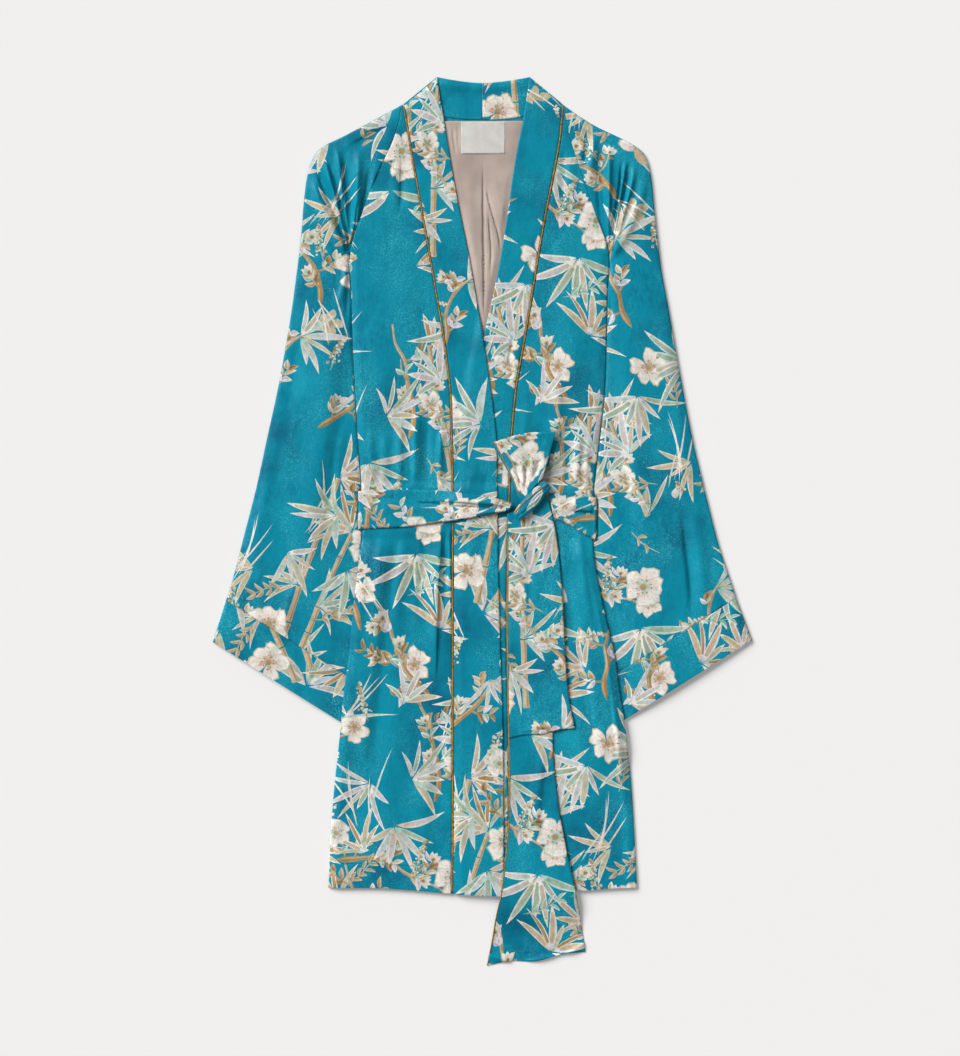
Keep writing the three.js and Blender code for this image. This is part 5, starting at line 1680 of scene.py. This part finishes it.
KNOT_FROM = (38.5, 6.0)
KNOT_TO = (70.3, 39.6)
KNOT_WIDTH = 17
KNOT_HEIGHT = 7.6
KNOT_BASE = 9.2


def belt_knot():
    """The one turn of the knot that shows, over a hidden underside."""
    start, end = np.array(KNOT_FROM), np.array(KNOT_TO)
    reach = np.hypot(*(end - start))
    length = reach * 1.08
    axis = (end - start) / reach
    middle = (start + end) / 2

    def arched(p):
        return np.sin(np.pi * np.clip(p / length, 0, 1))

    def half_width(p):
        return KNOT_WIDTH / 2 * (0.62 + 0.38 * arched(p))

    def turn_edge(p):
        return lerp(0.86, 0.22, np.clip(p / length, 0, 1))

    def surface(p, q, over=True):
        s = np.clip(q / half_width(p), -1, 1)
        arch = np.sqrt(np.clip(1 - s * s, 0, 1))
        tall = KNOT_HEIGHT / 2 * (0.5 + 0.5 * arched(p))
        z = KNOT_BASE + KNOT_HEIGHT / 2 + (1 if over else -1) * tall * arch
        if over:
            past = s - turn_edge(p)
            z = z - 1.5 * smooth(past, 0.0, 0.09) * arch
            z = z + 0.12 * np.sin(s * 6.0 + p * 0.10) * arch * smooth(p, 0, 8)
            z = z - 0.9 * np.exp(-((past + 0.62) / 0.10) ** 2) * smooth(p, 12, 30) * arch
            z = z - 0.6 * np.exp(-((past + 1.05) / 0.09) ** 2) * (1 - smooth(p, 16, 34)) * arch
        along = p - length / 2
        return middle[0] + axis[0] * along - axis[1] * q, middle[1] + axis[1] * along + axis[0] * q, z

    ps = np.linspace(0, length, 24)
    outline = np.concatenate([columns(ps, -half_width(ps)), columns(ps, half_width(ps))[::-1]])
    shapes = blade((12, -3.5), 0.12, 30, 6.5, EDGES[2], INSIDES[1])
    shapes += blade((20, -6), 0.2, 22, 4, EDGES[0], INSIDES[3])
    shapes += oval_leaf((2, 3), 0.3, 12, 5, LEAF_TONES[0]) + oval_leaf((30, 4), 0.0, 13, 5, LEAF_TONES[2])
    cloth = Cloth("belt_knot")
    common = {"edge_rows": (0.12, 0.35, 0.7, 1.2), "thickness": 0.4}
    lay(cloth, outline, surface, shapes, grid=1.2, **common)
    lay(cloth, outline, lambda p, q: surface(p, q, False), (), grid=2.4, flip=True, **common)
    cloth.finish()
    ps = np.linspace(1.5, length - 1.5, 30)
    x, y, z = surface(ps, turn_edge(ps) * half_width(ps) - 0.4)
    thread("belt_knot_cord", [columns(x, y, z + 0.15)], 0.6)


# Boxes that the robe covers wholly, in metres: half width, lower end, upper end
COVERED_BOXES = [(0.149, -0.2, 0.395), (0.086, 0.3, 0.452)]
FLOOR_SIZE = 8
FLOOR_HEIGHT = -0.0004
FLOOR_GLOW = 0.15


def floor_material():
    """Pale, with a faint glow round the robe that keeps its shadows pale, and none beneath it."""
    look = Look("pale_floor", 0.9, 0.0, 0.5)
    split = look.add("SeparateXYZ", Vector=look.place())
    x, y = look.sum("ABSOLUTE", split.outputs[0], 0.0), split.outputs[1]
    covered = 0.0
    for half_width, low, high in COVERED_BOXES:
        box = look.sum("MULTIPLY", look.sum("LESS_THAN", x, half_width), look.sum("GREATER_THAN", y, low))
        box = look.sum("MULTIPLY", box, look.sum("LESS_THAN", y, high))
        covered = look.sum("MAXIMUM", box, covered)
    glow = look.sum("MULTIPLY", look.sum("SUBTRACT", 1.0, covered), FLOOR_GLOW)
    look.set(look.shader, **{
        "Base Color": (0.722, 0.712, 0.702), "Emission Color": (1, 0.99, 0.98), "Emission Strength": glow,
    })
    return look.material


# Suns: name, the direction that they stand in, strength, angle in degrees
LIGHTS = [("key", (-1.0, 0.85, 0.86), 4.2, 34), ("fill", (0.9, -0.2, 1.6), 0.22, 60)]


def floor_and_light():
    bpy.ops.mesh.primitive_plane_add(size=FLOOR_SIZE, location=(0, 0, FLOOR_HEIGHT))
    floor = bpy.context.object
    floor.name = "floor"
    floor.data.materials.append(floor_material())
    world = bpy.data.worlds.new("soft_light")
    world.use_nodes = True
    background = world.node_tree.nodes["Background"]
    background.inputs["Color"].default_value = (1, 0.995, 0.985, 1)
    background.inputs["Strength"].default_value = 0.21
    bpy.context.scene.world = world
    for name, source, strength, angle in LIGHTS:
        data = bpy.data.lights.new(name, "SUN")
        data.energy = strength
        data.angle = math.radians(angle)
        light = bpy.data.objects.new(name, data)
        light.rotation_euler = (-Vector(source)).to_track_quat("-Z", "Y").to_euler()
        bpy.context.collection.objects.link(light)
    bpy.context.scene.view_settings.view_transform = "Standard"


def camera():
    data = bpy.data.cameras.new("camera")
    data.sensor_fit = "HORIZONTAL"
    data.sensor_width = SENSOR_WIDTH
    data.lens = SENSOR_WIDTH * CAMERA_HEIGHT / (FRAME_WIDTH_PX * PIXEL * MM)
    item = bpy.data.objects.new("camera", data)
    item.location = (VIEW_CENTRE[0] * MM, VIEW_CENTRE[1] * MM, CAMERA_HEIGHT)
    bpy.context.collection.objects.link(item)
    bpy.context.scene.camera = item


camera()
floor_and_light()
back()
lining()
label()
for side in ("left", "right"):
    front(side)
    band(side)
    piping(side)
    neck_band(side)
    cuff(side, *sleeve(side))
    belt_wrap(side)
belt_back()
belt_tail("lower")
belt_tail("upper")
belt_loop()
belt_knot()
